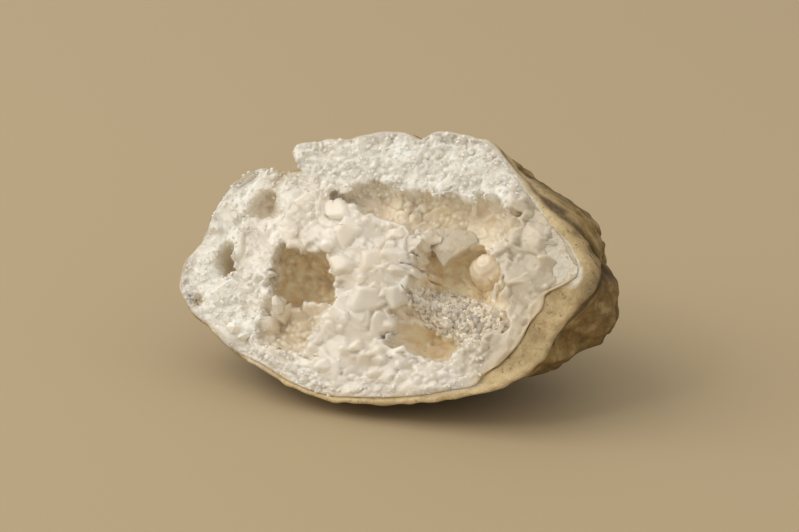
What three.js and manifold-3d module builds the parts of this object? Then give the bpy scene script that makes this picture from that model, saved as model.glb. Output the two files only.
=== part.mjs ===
// Half of a white quartz geode that was broken open, standing on its worn underside.
// A rind of pale limestone holds a thick crust of grown-together quartz crystals, and the
// crust has several hollows. All sizes are in millimetres, and +Z is up.
// The stone is shaped with its broken face level: u runs to the right along the face, v up
// along it and w out of it. It is then tipped up to the angle at which it stands.

import * as THREE from 'three';
import { mergeVertices } from 'three/addons/utils/BufferGeometryUtils.js';
import Module from 'manifold-3d';

// How the half stands
const FACE_LOOKS_UP = 34;                 // degrees from level to the line square to the face
const FACE_MIDDLE = [0.04, -9.4, 19.3];   // where the middle of the face stands, above the worn flat

// Outer body
const BODY_DEPTH = 27;                    // from the face back to the deepest point
const BODY_FULLNESS = 2.5;                // 2 is an ellipse, more is squarer
const BACK_DRIFT = [1.0, 6.4];            // how far the back pole lies off the middle of the face
const BACK_OVAL = [30.5, 19.8];           // half sizes of the plain oval that the outline fades into
const OUTLINE_FADE = 0.6;                 // below 1, the outline's notches fade out near the face
const RIND_DEPTH = 3.6;                   // rind behind the crust, at the back pole
const RIND_SIDE = 2.2;                    // rind round the crust, half way back
const CRUST_FULLNESS = 2.25;              // the crust's back is rounder than the body
const RIND_GAP = 0.3;                     // clearance between rind and crust
const OUTER_COLUMNS = 72;
const OUTER_ROWS = 15;
const INNER_COLUMNS = 36;
const INNER_ROWS = 9;
const FRONT_ROWS = 2;
const PLUG_HEIGHT = 6;                    // how far the crust's space is drawn out past the face
const CORNER_WELD = 0.001;                // corners closer than this are one corner
const HOLLOW_ROWS = 4;                    // rings of a hollow's wall, from the mouth to the bottom
const SLAB = [66, 46, 40];                // block that the crust is cut from: width, height, thickness
const SLAB_GRID = [20, 14];               // squares of its uneven top
const FACE_STEP = 0.2;                    // the crust's break lies this far below the rind's

// Outline of the broken face, counterclockwise from the right-hand brow: [u, v, rind thickness]
const OUTLINE = [
  [29.8, 3.2, 5.2], [27.5, 7.0, 5.0], [24.3, 9.7, 3.8], [20.9, 12.4, 2.8], [17.7, 15.3, 2.2],
  [14.2, 18.7, 1.8], [11.6, 20.5, 1.6], [8.0, 21.2, 1.4], [3.6, 21.2, 1.4], [0.9, 19.7, 1.4],
  [-1.6, 20.5, 1.4], [-4.6, 20.1, 1.4], [-9.1, 18.4, 1.3], [-13.8, 17.7, 1.2], [-18.4, 16.1, 1.2],
  [-16.2, 12.6, 1.2], [-19.6, 12.6, 1.2], [-23.5, 13.1, 1.2], [-26.8, 11.4, 1.2], [-29.5, 6.5, 1.2],
  [-30.4, 1.8, 1.2], [-32.6, -3.7, 1.2], [-31.9, -7.4, 1.2], [-29.0, -10.5, 1.2], [-26.3, -11.8, 1.2],
  [-22.4, -14.6, 1.2], [-15.6, -17.2, 1.2], [-10.2, -19.3, 1.3], [-4.2, -20.3, 1.4], [2.5, -19.7, 1.5],
  [9.0, -18.6, 1.8], [15.2, -16.8, 2.4], [21.1, -14.4, 3.4], [25.2, -10.4, 4.0], [27.2, -5.0, 4.2],
  [28.6, -1.4, 4.6],
];

// Swellings (+) and furrows (-) of the rind: angle round the face and depth behind it
const RIND_FORMS = [
  { name: 'upper shoulder', angle: 27.6, depth: 8.3, height: 2.3, spanAngle: 14, spanDepth: 7.5 },
  { name: 'lower shoulder', angle: -1.2, depth: 9.2, height: 3.8, spanAngle: 13, spanDepth: 7 },
  { name: 'shoulder ledge', angle: 13.8, depth: 11, height: -1.1, spanAngle: 5, spanDepth: 8 },
  { name: 'brow furrow', angle: -6, depth: 4.5, height: -2.2, spanAngle: 12, spanDepth: 2.4 },
  { name: 'low furrow', angle: -26, depth: 3.6, height: -1.5, spanAngle: 12, spanDepth: 2.2 },
  { name: 'shallow underside', angle: -36, depth: 9, height: -0.5, spanAngle: 20, spanDepth: 7 },
  { name: 'left cheek', angle: 190, depth: 10, height: 1.0, spanAngle: 26, spanDepth: 7 },
  { name: 'back knuckle', angle: 105, depth: 17, height: 1.8, spanAngle: 30, spanDepth: 8 },
  { name: 'back hollow', angle: 150, depth: 17, height: -1.8, spanAngle: 22, spanDepth: 7 },
];

// Hollows in the crust. The outline gives the mouth's corners on the face, counterclockwise.
// Walls are steep where the steepness is below 1, they reach back under the mouth by the
// undercut, and the bottom lies off the mouth's middle by the drift.
const HOLLOWS = [
  { name: 'window', at: [-12.2, -2.7], depth: 10, steepness: 0.7, undercut: 0.2, drift: [0.4, 0.6],
    outline: [[-6.5, -5.4], [-6.7, -2.8], [-8.1, -2.1], [-8.9, -0.1], [-12.2, 1.1], [-15.4, 0.9],
      [-16.2, 1.7], [-17.2, 0.4], [-17.8, -3.2], [-16.8, -6.4], [-12.5, -7.2], [-9.0, -6.4]] },
  { name: 'lower left', at: [-12.6, -9.8], depth: 4.2, steepness: 0.8, undercut: 0, drift: [0.4, 0.8],
    outline: [[-8.2, -9.4], [-6.9, -5.6], [-9.0, -4.8], [-12.5, -5.4], [-16.4, -6.2], [-17.9, -8.8],
      [-18.1, -10.4], [-17.4, -12.4], [-15.2, -13.9], [-11.4, -14.0], [-9.1, -11.9]] },
  { name: 'right hollow', at: [10.4, -2.6], depth: 6.6, steepness: 0.8, undercut: 0, drift: [0, 0.6],
    outline: [[18.6, -3.5], [17.0, 0.8], [15.8, 4.6], [12.4, 6.8], [8.0, 6.0], [5.2, 5.3], [3.3, 3.6],
      [3.6, 0.0], [4.0, -3.5], [2.9, -7.2], [3.5, -10.0], [5.4, -11.3], [9.9, -11.8], [14.9, -8.7],
      [18.6, -6.7]] },
  { name: 'right deep', at: [10.0, 1.4], depth: 11.5, steepness: 0.7, undercut: 0.1, drift: [0, 0.4],
    outline: [[15.6, 0.6], [15.2, 4.2], [12.0, 6.0], [8.0, 5.5], [4.6, 4.4], [3.9, 1.0], [4.4, -2.0],
      [8.0, -2.4], [12.5, -2.7], [15.0, -2.4]] },
  { name: 'basin', at: [7.4, -9.0], depth: 8, steepness: 0.8, undercut: 0, drift: [0.3, 0.5],
    outline: [[13.2, -8.6], [9.4, -7.4], [5.0, -6.4], [3.2, -7.0], [3.6, -9.8], [5.6, -11.2],
      [9.7, -11.5]] },
  { name: 'upper right', at: [9.5, 8.4], depth: 4.8, steepness: 0.9, undercut: 0, drift: [0, 0.4],
    outline: [[18.4, 8.2], [17.2, 10.6], [15.2, 12.2], [10.6, 11.9], [5.7, 11.1], [-1.5, 11.4],
      [-0.6, 8.0], [3.0, 5.8], [5.5, 4.6], [8.5, 4.2], [12.7, 4.3], [16.8, 5.8]] },
  { name: 'crevice', at: [-3.6, 9.6], depth: 3.8, steepness: 0.7, undercut: 0, drift: [0.3, 0.6],
    outline: [[2.0, 9.4], [1.0, 11.9], [-1.0, 12.0], [-5.3, 11.7], [-8.0, 10.6], [-10.5, 9.2],
      [-7.1, 8.2], [-3.4, 7.4], [0.5, 7.2]] },
  { name: 'upper left', at: [-21.8, 7.4], depth: 2.6, steepness: 1.2, undercut: 0, drift: [0, 0],
    outline: [[-19.2, 6.2], [-19.6, 7.8], [-20.8, 9.5], [-22.2, 9.6], [-23.5, 8.6], [-24.1, 6.6],
      [-23.1, 5.3], [-20.9, 5.1]] },
  { name: 'left slot', at: [-26.0, -1.6], depth: 3.2, steepness: 0.6, undercut: 0, drift: [0, 0],
    outline: [[-24.2, -3.0], [-25.1, -1.4], [-25.4, 0.8], [-26.8, 0.9], [-27.1, -1.2], [-26.9, -3.0],
      [-25.8, -3.9]] },
];

// Crystals planted over an oval patch of the crust, evenly spread
const PATCHES = [
  { name: 'milky middle', at: [-3.0, -0.8], half: [6.4, 9.6], turn: 14, count: 21,
    radius: [1.9, 3.0], stands: [1.2, 2.6], lean: 24, seed: 101 },
  { name: 'foot of the middle', at: [-1.6, -12.0], half: [5.0, 3.2], turn: 0, count: 6,
    radius: [1.6, 2.4], stands: [1.0, 1.8], lean: 22, seed: 102 },
  { name: 'top wall', at: [0.6, 15.8], half: [15.4, 3.2], turn: 2, count: 15,
    radius: [1.3, 2.1], stands: [0.8, 1.5], lean: 26, seed: 103 },
  { name: 'left lobe top', at: [-23.4, 9.6], half: [5.0, 2.8], turn: 30, count: 6,
    radius: [1.2, 1.7], stands: [0.7, 1.2], lean: 26, seed: 104 },
  { name: 'left lobe side', at: [-25.6, -3.4], half: [4.2, 8.4], turn: 8, count: 10,
    radius: [1.2, 1.8], stands: [0.7, 1.3], lean: 26, seed: 105 },
  { name: 'left bar', at: [-19.6, 0.4], half: [2.2, 5.0], turn: 20, count: 5,
    radius: [1.4, 2.0], stands: [0.9, 1.6], lean: 25, seed: 106 },
  { name: 'bottom wall', at: [3.0, -15.4], half: [17.0, 2.6], turn: 4, count: 11,
    radius: [1.6, 2.4], stands: [0.8, 1.4], lean: 22, seed: 107 },
  { name: 'right wall', at: [20.6, 0.4], half: [2.6, 10.6], turn: -4, count: 5,
    radius: [1.7, 2.3], stands: [0.8, 1.2], lean: 14, seed: 108 },
  { name: 'ledge of clear crystals', at: [11.4, -3.6], half: [7.0, 1.1], turn: -14, count: 9,
    radius: [0.9, 1.3], stands: [2.0, 3.4], lean: 18, seed: 109 },
  { name: 'right basin floor', at: [9.6, -7.0], half: [6.0, 1.9], turn: 10, count: 4,
    radius: [1.3, 1.9], stands: [0.8, 1.2], lean: 24, seed: 110 },
  { name: 'upper right hollow', at: [8.6, 8.6], half: [8.0, 2.8], turn: 8, count: 7,
    radius: [1.6, 2.4], stands: [0.8, 1.4], lean: 24, seed: 111 },
  { name: 'lower left hollow', at: [-12.0, -10.8], half: [4.6, 2.2], turn: 6, count: 4,
    radius: [1.2, 1.7], stands: [0.8, 1.3], lean: 26, seed: 112 },
];

// Crystals that stand out by themselves: foot on the face, radius, how far they stand, lean to u and v
const SINGLE_CRYSTALS = [
  { name: 'window sill knob', at: [-14.6, -6.9], sink: 1.5, radius: 2.0, stands: 1.6, lean: [0.2, 0.1] },
  { name: 'pale blunt crystal', at: [-5.6, 3.6], sink: 0, radius: 2.1, stands: 2.6, lean: [-0.15, 0.2] },
  { name: 'clear block', at: [-1.8, 11.2], sink: 1.0, radius: 1.9, stands: 1.4, lean: [0.3, 0.35] },
  { name: 'white spike', at: [10.6, 12.0], sink: 3.0, radius: 0.9, stands: 2.8, lean: [0.1, -0.6] },
  { name: 'right sliver', at: [15.6, -0.6], sink: 3.0, radius: 0.9, stands: 3.0, lean: [-0.1, -0.5] },
  { name: 'bright chip', at: [-2.4, -11.4], sink: 0.4, radius: 0.9, stands: 1.8, lean: [0.35, 0.3] },
];

// Rounded masses in the right hollow, and the flat plate that hangs over its deepest part
const MOUNDS = [
  { name: 'ledge', at: [11.2, -4.7], sink: 4.2, half: [7.4, 3.0, 3.6], turn: -14 },
  { name: 'ringed knob', at: [13.6, 3.0], sink: 3.4, half: [2.9, 2.6, 3.4], turn: 0 },
  { name: 'floor swell', at: [-12.4, -10.6], sink: 3.2, half: [3.4, 2.4, 2.0], turn: 20 },
];
const HANGING_PLATE = {
  outline: [[7.4, 2.4], [9.4, 4.6], [11.6, 6.3], [11.0, 10.4], [3.6, 10.4], [3.2, 6.4], [4.6, 5.2]],
  tip: [7.4, 2.4], sink: 3.0, slope: 0.18, thickness: 1.8,
};

const wasm = await Module();
wasm.setup();

// Slow, even waves in three directions: the swell of a weathered surface, between -1 and 1
function waves(x, y, z, length) {
  const k = 2 * Math.PI / length;
  const first = Math.sin(k * (x + 0.4 * y) + 0.6) * Math.sin(k * (0.9 * y - 0.3 * z) + 1.1);
  const second = Math.sin(k * (0.8 * x - 0.7 * y + 0.5 * z) + 2.0);
  return 0.65 * first + 0.35 * second * Math.sin(k * (z + 0.5 * y) + 0.3);
}

function smoothStep(t) {
  const c = Math.min(1, Math.max(0, t));
  return c * c * (3 - 2 * c);
}

function hill(distance, span) {
  return Math.exp(-(distance * distance) / (span * span));
}

// Height w of the broken face: the left lobe broke off lower, the plate beside the notch and
// the middle mass stand proud, and the whole break is uneven
function brokenFace(u, v) {
  const leftLobe = -2.3 * smoothStep((-16.5 - u) / 4);
  const plate = 1.1 * hill(u + 9, 9) * hill(v - 16, 5);
  const middle = 1.3 * hill(u + 2.5, 8) * hill(v + 1, 12);
  const rightFall = -0.8 * smoothStep((u - 20) / 9);
  return leftLobe + plate + middle + rightFall + 0.45 * waves(u, v, 0, 9);
}

// Closed curve through the outline's points; inset keeps the rind's thickness inside it
function outlineCurve(keepRind) {
  const points = OUTLINE.map(([u, v, rind]) => {
    const radius = Math.hypot(u, v);
    const scale = keepRind ? 1 : (radius - rind) / radius;
    return new THREE.Vector3(u * scale, v * scale, 0);
  });
  return new THREE.CatmullRomCurve3(points, true, 'catmullrom', 0.5);
}

function angleDifference(a, b) {
  return ((a - b + 540) % 360) - 180;
}

// Height of the swellings, furrows and weathering at a point of the outer surface
function rindRelief(point) {
  const angle = THREE.MathUtils.radToDeg(Math.atan2(point.y, point.x));
  let height = 0.55 * waves(point.x, point.y, point.z, 13);
  for (const form of RIND_FORMS) {
    const round = hill(angleDifference(angle, form.angle), form.spanAngle);
    height += form.height * round * hill(-point.z - form.depth, form.spanDepth);
  }
  return height * smoothStep(-point.z / 3);
}

// A ball drawn out into a bowl: columns follow the curve, the first rows cover the front and
// the rest round off to the back pole by a superellipse, where the outline has faded into an
// oval. A plug height lifts the front into a straight-sided plug.
function bowl({ curve, depth, fullness, backOval, columns, rows, plug, relief }) {
  const geometry = new THREE.SphereGeometry(1, columns, rows);
  const place = geometry.attributes.position;
  const grid = geometry.attributes.uv;
  const rim = new THREE.Vector3();
  const frontShare = FRONT_ROWS / rows;
  for (let i = 0; i < place.count; i += 1) {
    curve.getPoint(grid.getX(i) % 1, rim);
    const share = 1 - grid.getY(i);
    const front = share / frontShare;
    if (front < 1 - 1e-6) {
      const reach = plug > 0 && front > 0 ? 1 : front;
      const level = plug > 0 ? plug : brokenFace(rim.x * reach, rim.y * reach);
      place.setXYZ(i, rim.x * reach, rim.y * reach, level);
    } else {
      const turn = Math.max(0, share - frontShare) / (1 - frontShare) * Math.PI / 2;
      const spread = Math.pow(Math.max(0, Math.cos(turn)), 2 / fullness);
      const back = Math.pow(Math.sin(turn), 2 / fullness);
      const oval = 1 / Math.hypot(rim.x / backOval[0], rim.y / backOval[1]);
      const fade = 1 + (oval - 1) * Math.pow(back, OUTLINE_FADE);
      const point = new THREE.Vector3(
        rim.x * fade * spread + BACK_DRIFT[0] * back,
        rim.y * fade * spread + BACK_DRIFT[1] * back,
        brokenFace(rim.x, rim.y) * (1 - back) - depth * back,
      );
      if (relief) {
        const outwards = new THREE.Vector3(rim.x * spread, rim.y * spread, -depth * back * 0.8);
        point.addScaledVector(outwards.normalize(), relief(point));
      }
      place.setXYZ(i, point.x, point.y, point.z);
    }
  }
  return geometry;
}

// A closed geometry as a solid: shared corners merged and faces without area left out
function solid(geometry) {
  const bare = geometry.clone();
  bare.deleteAttribute('normal');
  bare.deleteAttribute('uv');
  const merged = mergeVertices(bare, CORNER_WELD / 10);
  const corners = merged.index.array;
  const kept = [];
  for (let i = 0; i < corners.length; i += 3) {
    const [a, b, c] = [corners[i], corners[i + 1], corners[i + 2]];
    if (a !== b && b !== c && c !== a) kept.push(a, b, c);
  }
  const mesh = new wasm.Mesh({
    numProp: 3,
    vertProperties: new Float32Array(merged.attributes.position.array),
    triVerts: new Uint32Array(kept),
  });
  return new wasm.Manifold(mesh);
}

function geometryOf(shape) {
  const mesh = shape.getMesh();
  const geometry = new THREE.BufferGeometry();
  geometry.setAttribute('position', new THREE.BufferAttribute(mesh.vertProperties, 3));
  geometry.setIndex(new THREE.BufferAttribute(mesh.triVerts, 1));
  return geometry;
}

// Crystals that close over a hollow's corner leave small sealed voids between them. The voids
// are filled by keeping only the largest of the closed skins that the solid is made of.
function outerSkin(geometry) {
  const welded = mergeVertices(geometry.toNonIndexed(), CORNER_WELD);
  const skins = solid(welded).decompose();
  const [largest] = skins.sort((a, b) => b.volume() - a.volume());
  return geometryOf(largest);
}

// The same sequence of numbers from 0 to 1 at every run
function numberMaker(seed) {
  let state = seed;
  return () => {
    state = (state * 1664525 + 1013904223) % 4294967296;
    return state / 4294967296;
  };
}

// The whole stone as it was before the crust is taken out of it
function stoneBody() {
  return solid(bowl({
    curve: outlineCurve(true),
    depth: BODY_DEPTH,
    fullness: BODY_FULLNESS,
    backOval: BACK_OVAL,
    columns: OUTER_COLUMNS,
    rows: OUTER_ROWS,
    plug: 0,
    relief: rindRelief,
  }));
}

// The space inside the rind, drawn forward through the face so that it opens the front
function crustSpace(gap) {
  const room = bowl({
    curve: outlineCurve(false),
    depth: BODY_DEPTH - RIND_DEPTH,
    fullness: CRUST_FULLNESS,
    backOval: BACK_OVAL.map((half) => half - RIND_SIDE),
    columns: INNER_COLUMNS,
    rows: INNER_ROWS,
    plug: PLUG_HEIGHT,
    relief: null,
  });
  const middle = new THREE.Vector3(BACK_DRIFT[0] / 2, BACK_DRIFT[1] / 2, 0);
  const place = room.attributes.position;
  for (let i = 0; i < place.count; i += 1) {
    const point = new THREE.Vector3().fromBufferAttribute(place, i);
    const inwards = point.clone().sub(middle).normalize();
    point.addScaledVector(inwards, -gap);
    place.setXYZ(i, point.x, point.y, point.z);
  }
  return solid(room);
}

// A slab whose top is the broken face, wide enough to cover the crust
function faceSlab() {
  const slab = new THREE.BoxGeometry(...SLAB, ...SLAB_GRID, 1);
  const place = slab.attributes.position;
  for (let i = 0; i < place.count; i += 1) {
    const top = place.getZ(i) > 0;
    place.setZ(i, top ? brokenFace(place.getX(i), place.getY(i)) - FACE_STEP : -SLAB[2]);
  }
  return solid(slab);
}

// How far a hollow's wall has come in and gone down, at a turn from 0 at the mouth to a right
// angle at the bottom
function hollowWall(hollow, turn) {
  const inwards = Math.max(0, Math.cos(turn)) * (1 + hollow.undercut * Math.sin(2 * turn));
  return { spread: inwards, fall: Math.pow(Math.sin(turn), hollow.steepness) };
}

// A pit with the hollow's mouth: straight up from the mouth, and down from it along its wall
function hollowSolid(hollow) {
  const corners = hollow.outline.length;
  const rows = HOLLOW_ROWS + 2;
  const pit = new THREE.SphereGeometry(1, corners, rows);
  const place = pit.attributes.position;
  const grid = pit.attributes.uv;
  for (let i = 0; i < place.count; i += 1) {
    const row = Math.round((1 - grid.getY(i)) * rows);
    const column = Math.max(0, Math.round(grid.getX(i) * corners));
    const [u, v] = hollow.outline[column % corners];
    const turn = Math.max(0, row - 2) / HOLLOW_ROWS * Math.PI / 2;
    const { spread, fall } = hollowWall(hollow, turn);
    const reach = row === 0 ? 0 : spread;
    const level = brokenFace(u, v) * reach + brokenFace(...hollow.at) * (1 - reach);
    place.setXYZ(
      i,
      hollow.at[0] + (u - hollow.at[0]) * reach + hollow.drift[0] * fall,
      hollow.at[1] + (v - hollow.at[1]) * reach + hollow.drift[1] * fall,
      level + (row < 2 ? PLUG_HEIGHT : 0) - hollow.depth * fall,
    );
  }
  return solid(pit);
}

// Where (u, v) lies in a hollow's mouth: 0 in its middle, 1 on its outline
function mouthShare(hollow, u, v) {
  const [x, y] = [u - hollow.at[0], v - hollow.at[1]];
  const corners = hollow.outline.map(([a, b]) => [a - hollow.at[0], b - hollow.at[1]]);
  for (let i = 0; i < corners.length; i += 1) {
    const [ax, ay] = corners[i];
    const [bx, by] = corners[(i + 1) % corners.length];
    if (ax * y - ay * x >= 0 && x * by - y * bx >= 0) {
      return (x * (by - ay) - y * (bx - ax)) / (ax * by - ay * bx);
    }
  }
  return 0;
}

// Height of the crust under (u, v), with the hollows taken into account
function crustHeight(u, v) {
  let height = brokenFace(u, v);
  for (const hollow of HOLLOWS) {
    const share = mouthShare(hollow, u, v);
    if (share < 1) {
      const { fall } = hollowWall(hollow, (1 - share) * Math.PI / 2);
      height = Math.min(height, brokenFace(u, v) - hollow.depth * fall);
    }
  }
  return height;
}

// A rounded mound of quartz in a hollow, and a dome on its wall
function moundSolid({ at, sink, half, turn }) {
  const ball = new THREE.IcosahedronGeometry(1, 1);
  ball.scale(...half);
  ball.rotateZ(THREE.MathUtils.degToRad(turn));
  ball.translate(at[0], at[1], brokenFace(...at) - sink - half[2]);
  return solid(ball);
}

// A flat plate of quartz that hangs into the right hollow, thinner towards its tip
function plateSolid() {
  const shape = new THREE.Shape(HANGING_PLATE.outline.map(([u, v]) => new THREE.Vector2(u, v)));
  const slab = new THREE.ExtrudeGeometry(shape, { depth: HANGING_PLATE.thickness, bevelEnabled: false });
  const place = slab.attributes.position;
  const [tipU, tipV] = HANGING_PLATE.tip;
  const top = brokenFace(tipU, tipV) - HANGING_PLATE.sink - HANGING_PLATE.thickness;
  for (let i = 0; i < place.count; i += 1) {
    const away = Math.hypot(place.getX(i) - tipU, place.getY(i) - tipV);
    place.setZ(i, place.getZ(i) + top - HANGING_PLATE.slope * away);
  }
  return solid(slab);
}

// A six-sided quartz crystal with a pointed end, its foot buried in the crust
function crystalSolid({ foot, radius, length, flatten, spin, lean }) {
  const shoulder = length - radius * 0.9;
  const profile = [[0, 0], [radius * 1.05, 0], [radius, shoulder], [0, length]];
  const shape = new THREE.LatheGeometry(profile.map(([r, y]) => new THREE.Vector2(r, y)), 6);
  shape.rotateX(Math.PI / 2);
  shape.scale(1, flatten, 1);
  shape.rotateZ(spin);
  const axis = new THREE.Vector3(lean[0], lean[1], 1).normalize();
  const turn = new THREE.Quaternion().setFromUnitVectors(new THREE.Vector3(0, 0, 1), axis);
  shape.applyQuaternion(turn);
  shape.translate(foot[0] - axis.x * 0.5 * length, foot[1] - axis.y * 0.5 * length, 0);
  shape.translate(0, 0, foot[2] - axis.z * 0.5 * length);
  return solid(shape);
}

// Crystals of a patch, spread like seeds in a flower head so that they stand evenly
function patchCrystals(patch) {
  const next = numberMaker(patch.seed);
  const between = ([low, high]) => low + (high - low) * next();
  const goldenAngle = Math.PI * (3 - Math.sqrt(5));
  const turn = THREE.MathUtils.degToRad(patch.turn);
  const crystals = [];
  for (let i = 0; i < patch.count; i += 1) {
    const reach = Math.sqrt((i + 0.5) / patch.count);
    const a = patch.half[0] * reach * Math.cos(i * goldenAngle);
    const b = patch.half[1] * reach * Math.sin(i * goldenAngle);
    const u = patch.at[0] + a * Math.cos(turn) - b * Math.sin(turn);
    const v = patch.at[1] + a * Math.sin(turn) + b * Math.cos(turn);
    const leanReach = Math.tan(THREE.MathUtils.degToRad(patch.lean)) * next();
    const leanWay = next() * 2 * Math.PI;
    const stands = between(patch.stands);
    crystals.push(crystalSolid({
      foot: [u, v, crustHeight(u, v)],
      radius: between(patch.radius),
      length: 2 * stands,
      flatten: 0.7 + 0.3 * next(),
      spin: next() * Math.PI,
      lean: [leanReach * Math.cos(leanWay), leanReach * Math.sin(leanWay)],
    }));
  }
  return crystals;
}

function singleCrystal(single) {
  const [u, v] = single.at;
  return crystalSolid({
    foot: [u, v, brokenFace(u, v) - single.sink],
    radius: single.radius,
    length: 2 * single.stands,
    flatten: 0.75,
    spin: 0.4 * u,
    lean: single.lean,
  });
}

// Tip the level stone up and set it over the worn flat
function stand(shape) {
  const geometry = geometryOf(shape);
  geometry.rotateX(THREE.MathUtils.degToRad(90 - FACE_LOOKS_UP));
  geometry.translate(...FACE_MIDDLE);
  return geometry;
}

function rindGeometry() {
  const shell = stand(stoneBody().subtract(crustSpace(0)));
  const aboveFlat = new THREE.BoxGeometry(120, 120, 80).translate(0, 0, 40);
  return geometryOf(solid(shell).intersect(solid(aboveFlat)));
}

function crustGeometry() {
  const room = crustSpace(RIND_GAP);
  let crust = faceSlab();
  for (const hollow of HOLLOWS) crust = crust.subtract(hollowSolid(hollow));
  for (const mound of MOUNDS) crust = crust.add(moundSolid(mound));
  crust = crust.add(plateSolid());
  for (const patch of PATCHES) {
    for (const crystal of patchCrystals(patch)) crust = crust.add(crystal);
  }
  for (const single of SINGLE_CRYSTALS) crust = crust.add(singleCrystal(single));
  return outerSkin(stand(crust.intersect(room)));
}

function named(name, geometry, colour, roughness) {
  const material = new THREE.MeshStandardMaterial({
    color: colour,
    roughness,
    metalness: 0,
    flatShading: true,
  });
  const mesh = new THREE.Mesh(geometry, material);
  mesh.name = name;
  return mesh;
}

const geode = new THREE.Group();
geode.add(named('rind', rindGeometry(), 0xb39a6b, 0.9));
geode.add(named('crystal_crust', crustGeometry(), 0xe6ddc9, 0.35));

export default geode;
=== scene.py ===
# Half of a white quartz geode, broken open by hand: a thin limestone rind round a crust of
# quartz crystals. Sizes are worked out in millimetres and turned into metres on the way in.
import bpy
import numpy as np
from mathutils import Matrix


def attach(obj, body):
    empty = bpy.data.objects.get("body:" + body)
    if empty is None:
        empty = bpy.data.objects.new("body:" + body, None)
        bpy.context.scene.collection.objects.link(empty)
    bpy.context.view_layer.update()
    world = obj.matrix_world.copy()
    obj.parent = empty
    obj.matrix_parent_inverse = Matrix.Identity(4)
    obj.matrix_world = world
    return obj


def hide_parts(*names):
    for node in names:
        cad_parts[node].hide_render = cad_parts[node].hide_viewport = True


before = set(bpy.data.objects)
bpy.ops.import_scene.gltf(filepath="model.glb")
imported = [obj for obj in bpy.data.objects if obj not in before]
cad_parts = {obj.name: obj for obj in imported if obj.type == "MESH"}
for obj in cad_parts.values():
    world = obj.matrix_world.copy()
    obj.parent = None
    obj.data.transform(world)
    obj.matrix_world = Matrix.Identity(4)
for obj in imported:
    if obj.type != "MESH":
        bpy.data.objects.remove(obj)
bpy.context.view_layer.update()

MM = 0.001


# Camera
# It looks at the broken face from its right and a little below the line square to it, from
# about 36 cm away. The face's middle stands at a known place of the picture.
PICTURE = (799, 532)
FACE_MIDDLE_PIXEL = (385, 268)
PIXELS_PER_MM = 7.0
CAMERA_DISTANCE = 360.0
CAMERA_AZIMUTH = np.radians(22)
CAMERA_ELEVATION = np.radians(20)
SENSOR_WIDTH = 36.0
FACE_MIDDLE = np.array([0.04, -9.4, 19.3])


def add_camera():
    """Places the camera so that the face's middle lands on its pixel at the known scale."""
    sin_a, cos_a = np.sin(CAMERA_AZIMUTH), np.cos(CAMERA_AZIMUTH)
    sin_e, cos_e = np.sin(CAMERA_ELEVATION), np.cos(CAMERA_ELEVATION)
    right = np.array([cos_a, sin_a, 0])
    back = np.array([sin_a * cos_e, -cos_a * cos_e, sin_e])
    up = np.array([-sin_a * sin_e, cos_a * sin_e, cos_e])
    aside = (PICTURE[0] / 2 - FACE_MIDDLE_PIXEL[0]) / PIXELS_PER_MM
    above = (FACE_MIDDLE_PIXEL[1] - PICTURE[1] / 2) / PIXELS_PER_MM
    eye = FACE_MIDDLE + back * CAMERA_DISTANCE + right * aside + up * above
    camera = bpy.data.objects.new("camera", bpy.data.cameras.new("camera"))
    camera.data.sensor_width = SENSOR_WIDTH
    camera.data.lens = SENSOR_WIDTH * PIXELS_PER_MM * CAMERA_DISTANCE / PICTURE[0]
    camera.data.clip_start = 0.01
    turn = np.eye(4)
    turn[:3, :3] = np.array([right, up, back]).T
    turn[:3, 3] = eye * MM
    camera.matrix_world = Matrix(turn)
    bpy.context.scene.collection.objects.link(camera)
    bpy.context.scene.camera = camera


add_camera()


# Rind
# The skin of the nodule: pale limestone and chalcedony, weathered grey-brown behind, a few
# millimetres thick. It broke with the quartz, so its edge is as uneven as the broken face.
FACE_LOOKS_UP = np.radians(34)
BODY_DEPTH = 27.0
BODY_FULLNESS = 2.5
BACK_DRIFT = (1.0, 6.4)
BACK_OVAL = (30.5, 19.8)
OUTLINE_FADE = 0.6
RIND_COLUMNS = 560
OUTLINE = np.array([
    # place across and up the face, thickness of the rind
    (29.8, 3.2, 5.2), (27.5, 7.0, 5.0), (24.3, 9.7, 3.8), (20.9, 12.4, 2.8), (17.7, 15.3, 2.2),
    (14.2, 18.7, 1.8), (11.6, 20.5, 1.6), (8.0, 21.2, 1.4), (3.6, 21.2, 1.4), (0.9, 19.7, 1.4),
    (-1.6, 20.5, 1.4), (-4.6, 20.1, 1.4), (-9.1, 18.4, 1.3), (-13.8, 17.7, 1.2), (-18.4, 16.1, 1.2),
    (-16.2, 12.6, 1.2), (-19.6, 12.6, 1.2), (-23.5, 13.1, 1.2), (-26.8, 11.4, 1.2), (-29.5, 6.5, 1.2),
    (-30.4, 1.8, 1.2), (-32.6, -3.7, 1.2), (-31.9, -7.4, 1.2), (-29.0, -10.5, 1.2), (-26.3, -11.8, 1.2),
    (-22.4, -14.6, 1.2), (-15.6, -17.2, 1.2), (-10.2, -19.3, 1.3), (-4.2, -20.3, 1.4), (2.5, -19.7, 1.5),
    (9.0, -18.6, 1.8), (15.2, -16.8, 2.4), (21.1, -14.4, 3.4), (25.2, -10.4, 4.0), (27.2, -5.0, 4.2),
    (28.6, -1.4, 4.6),
])
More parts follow.
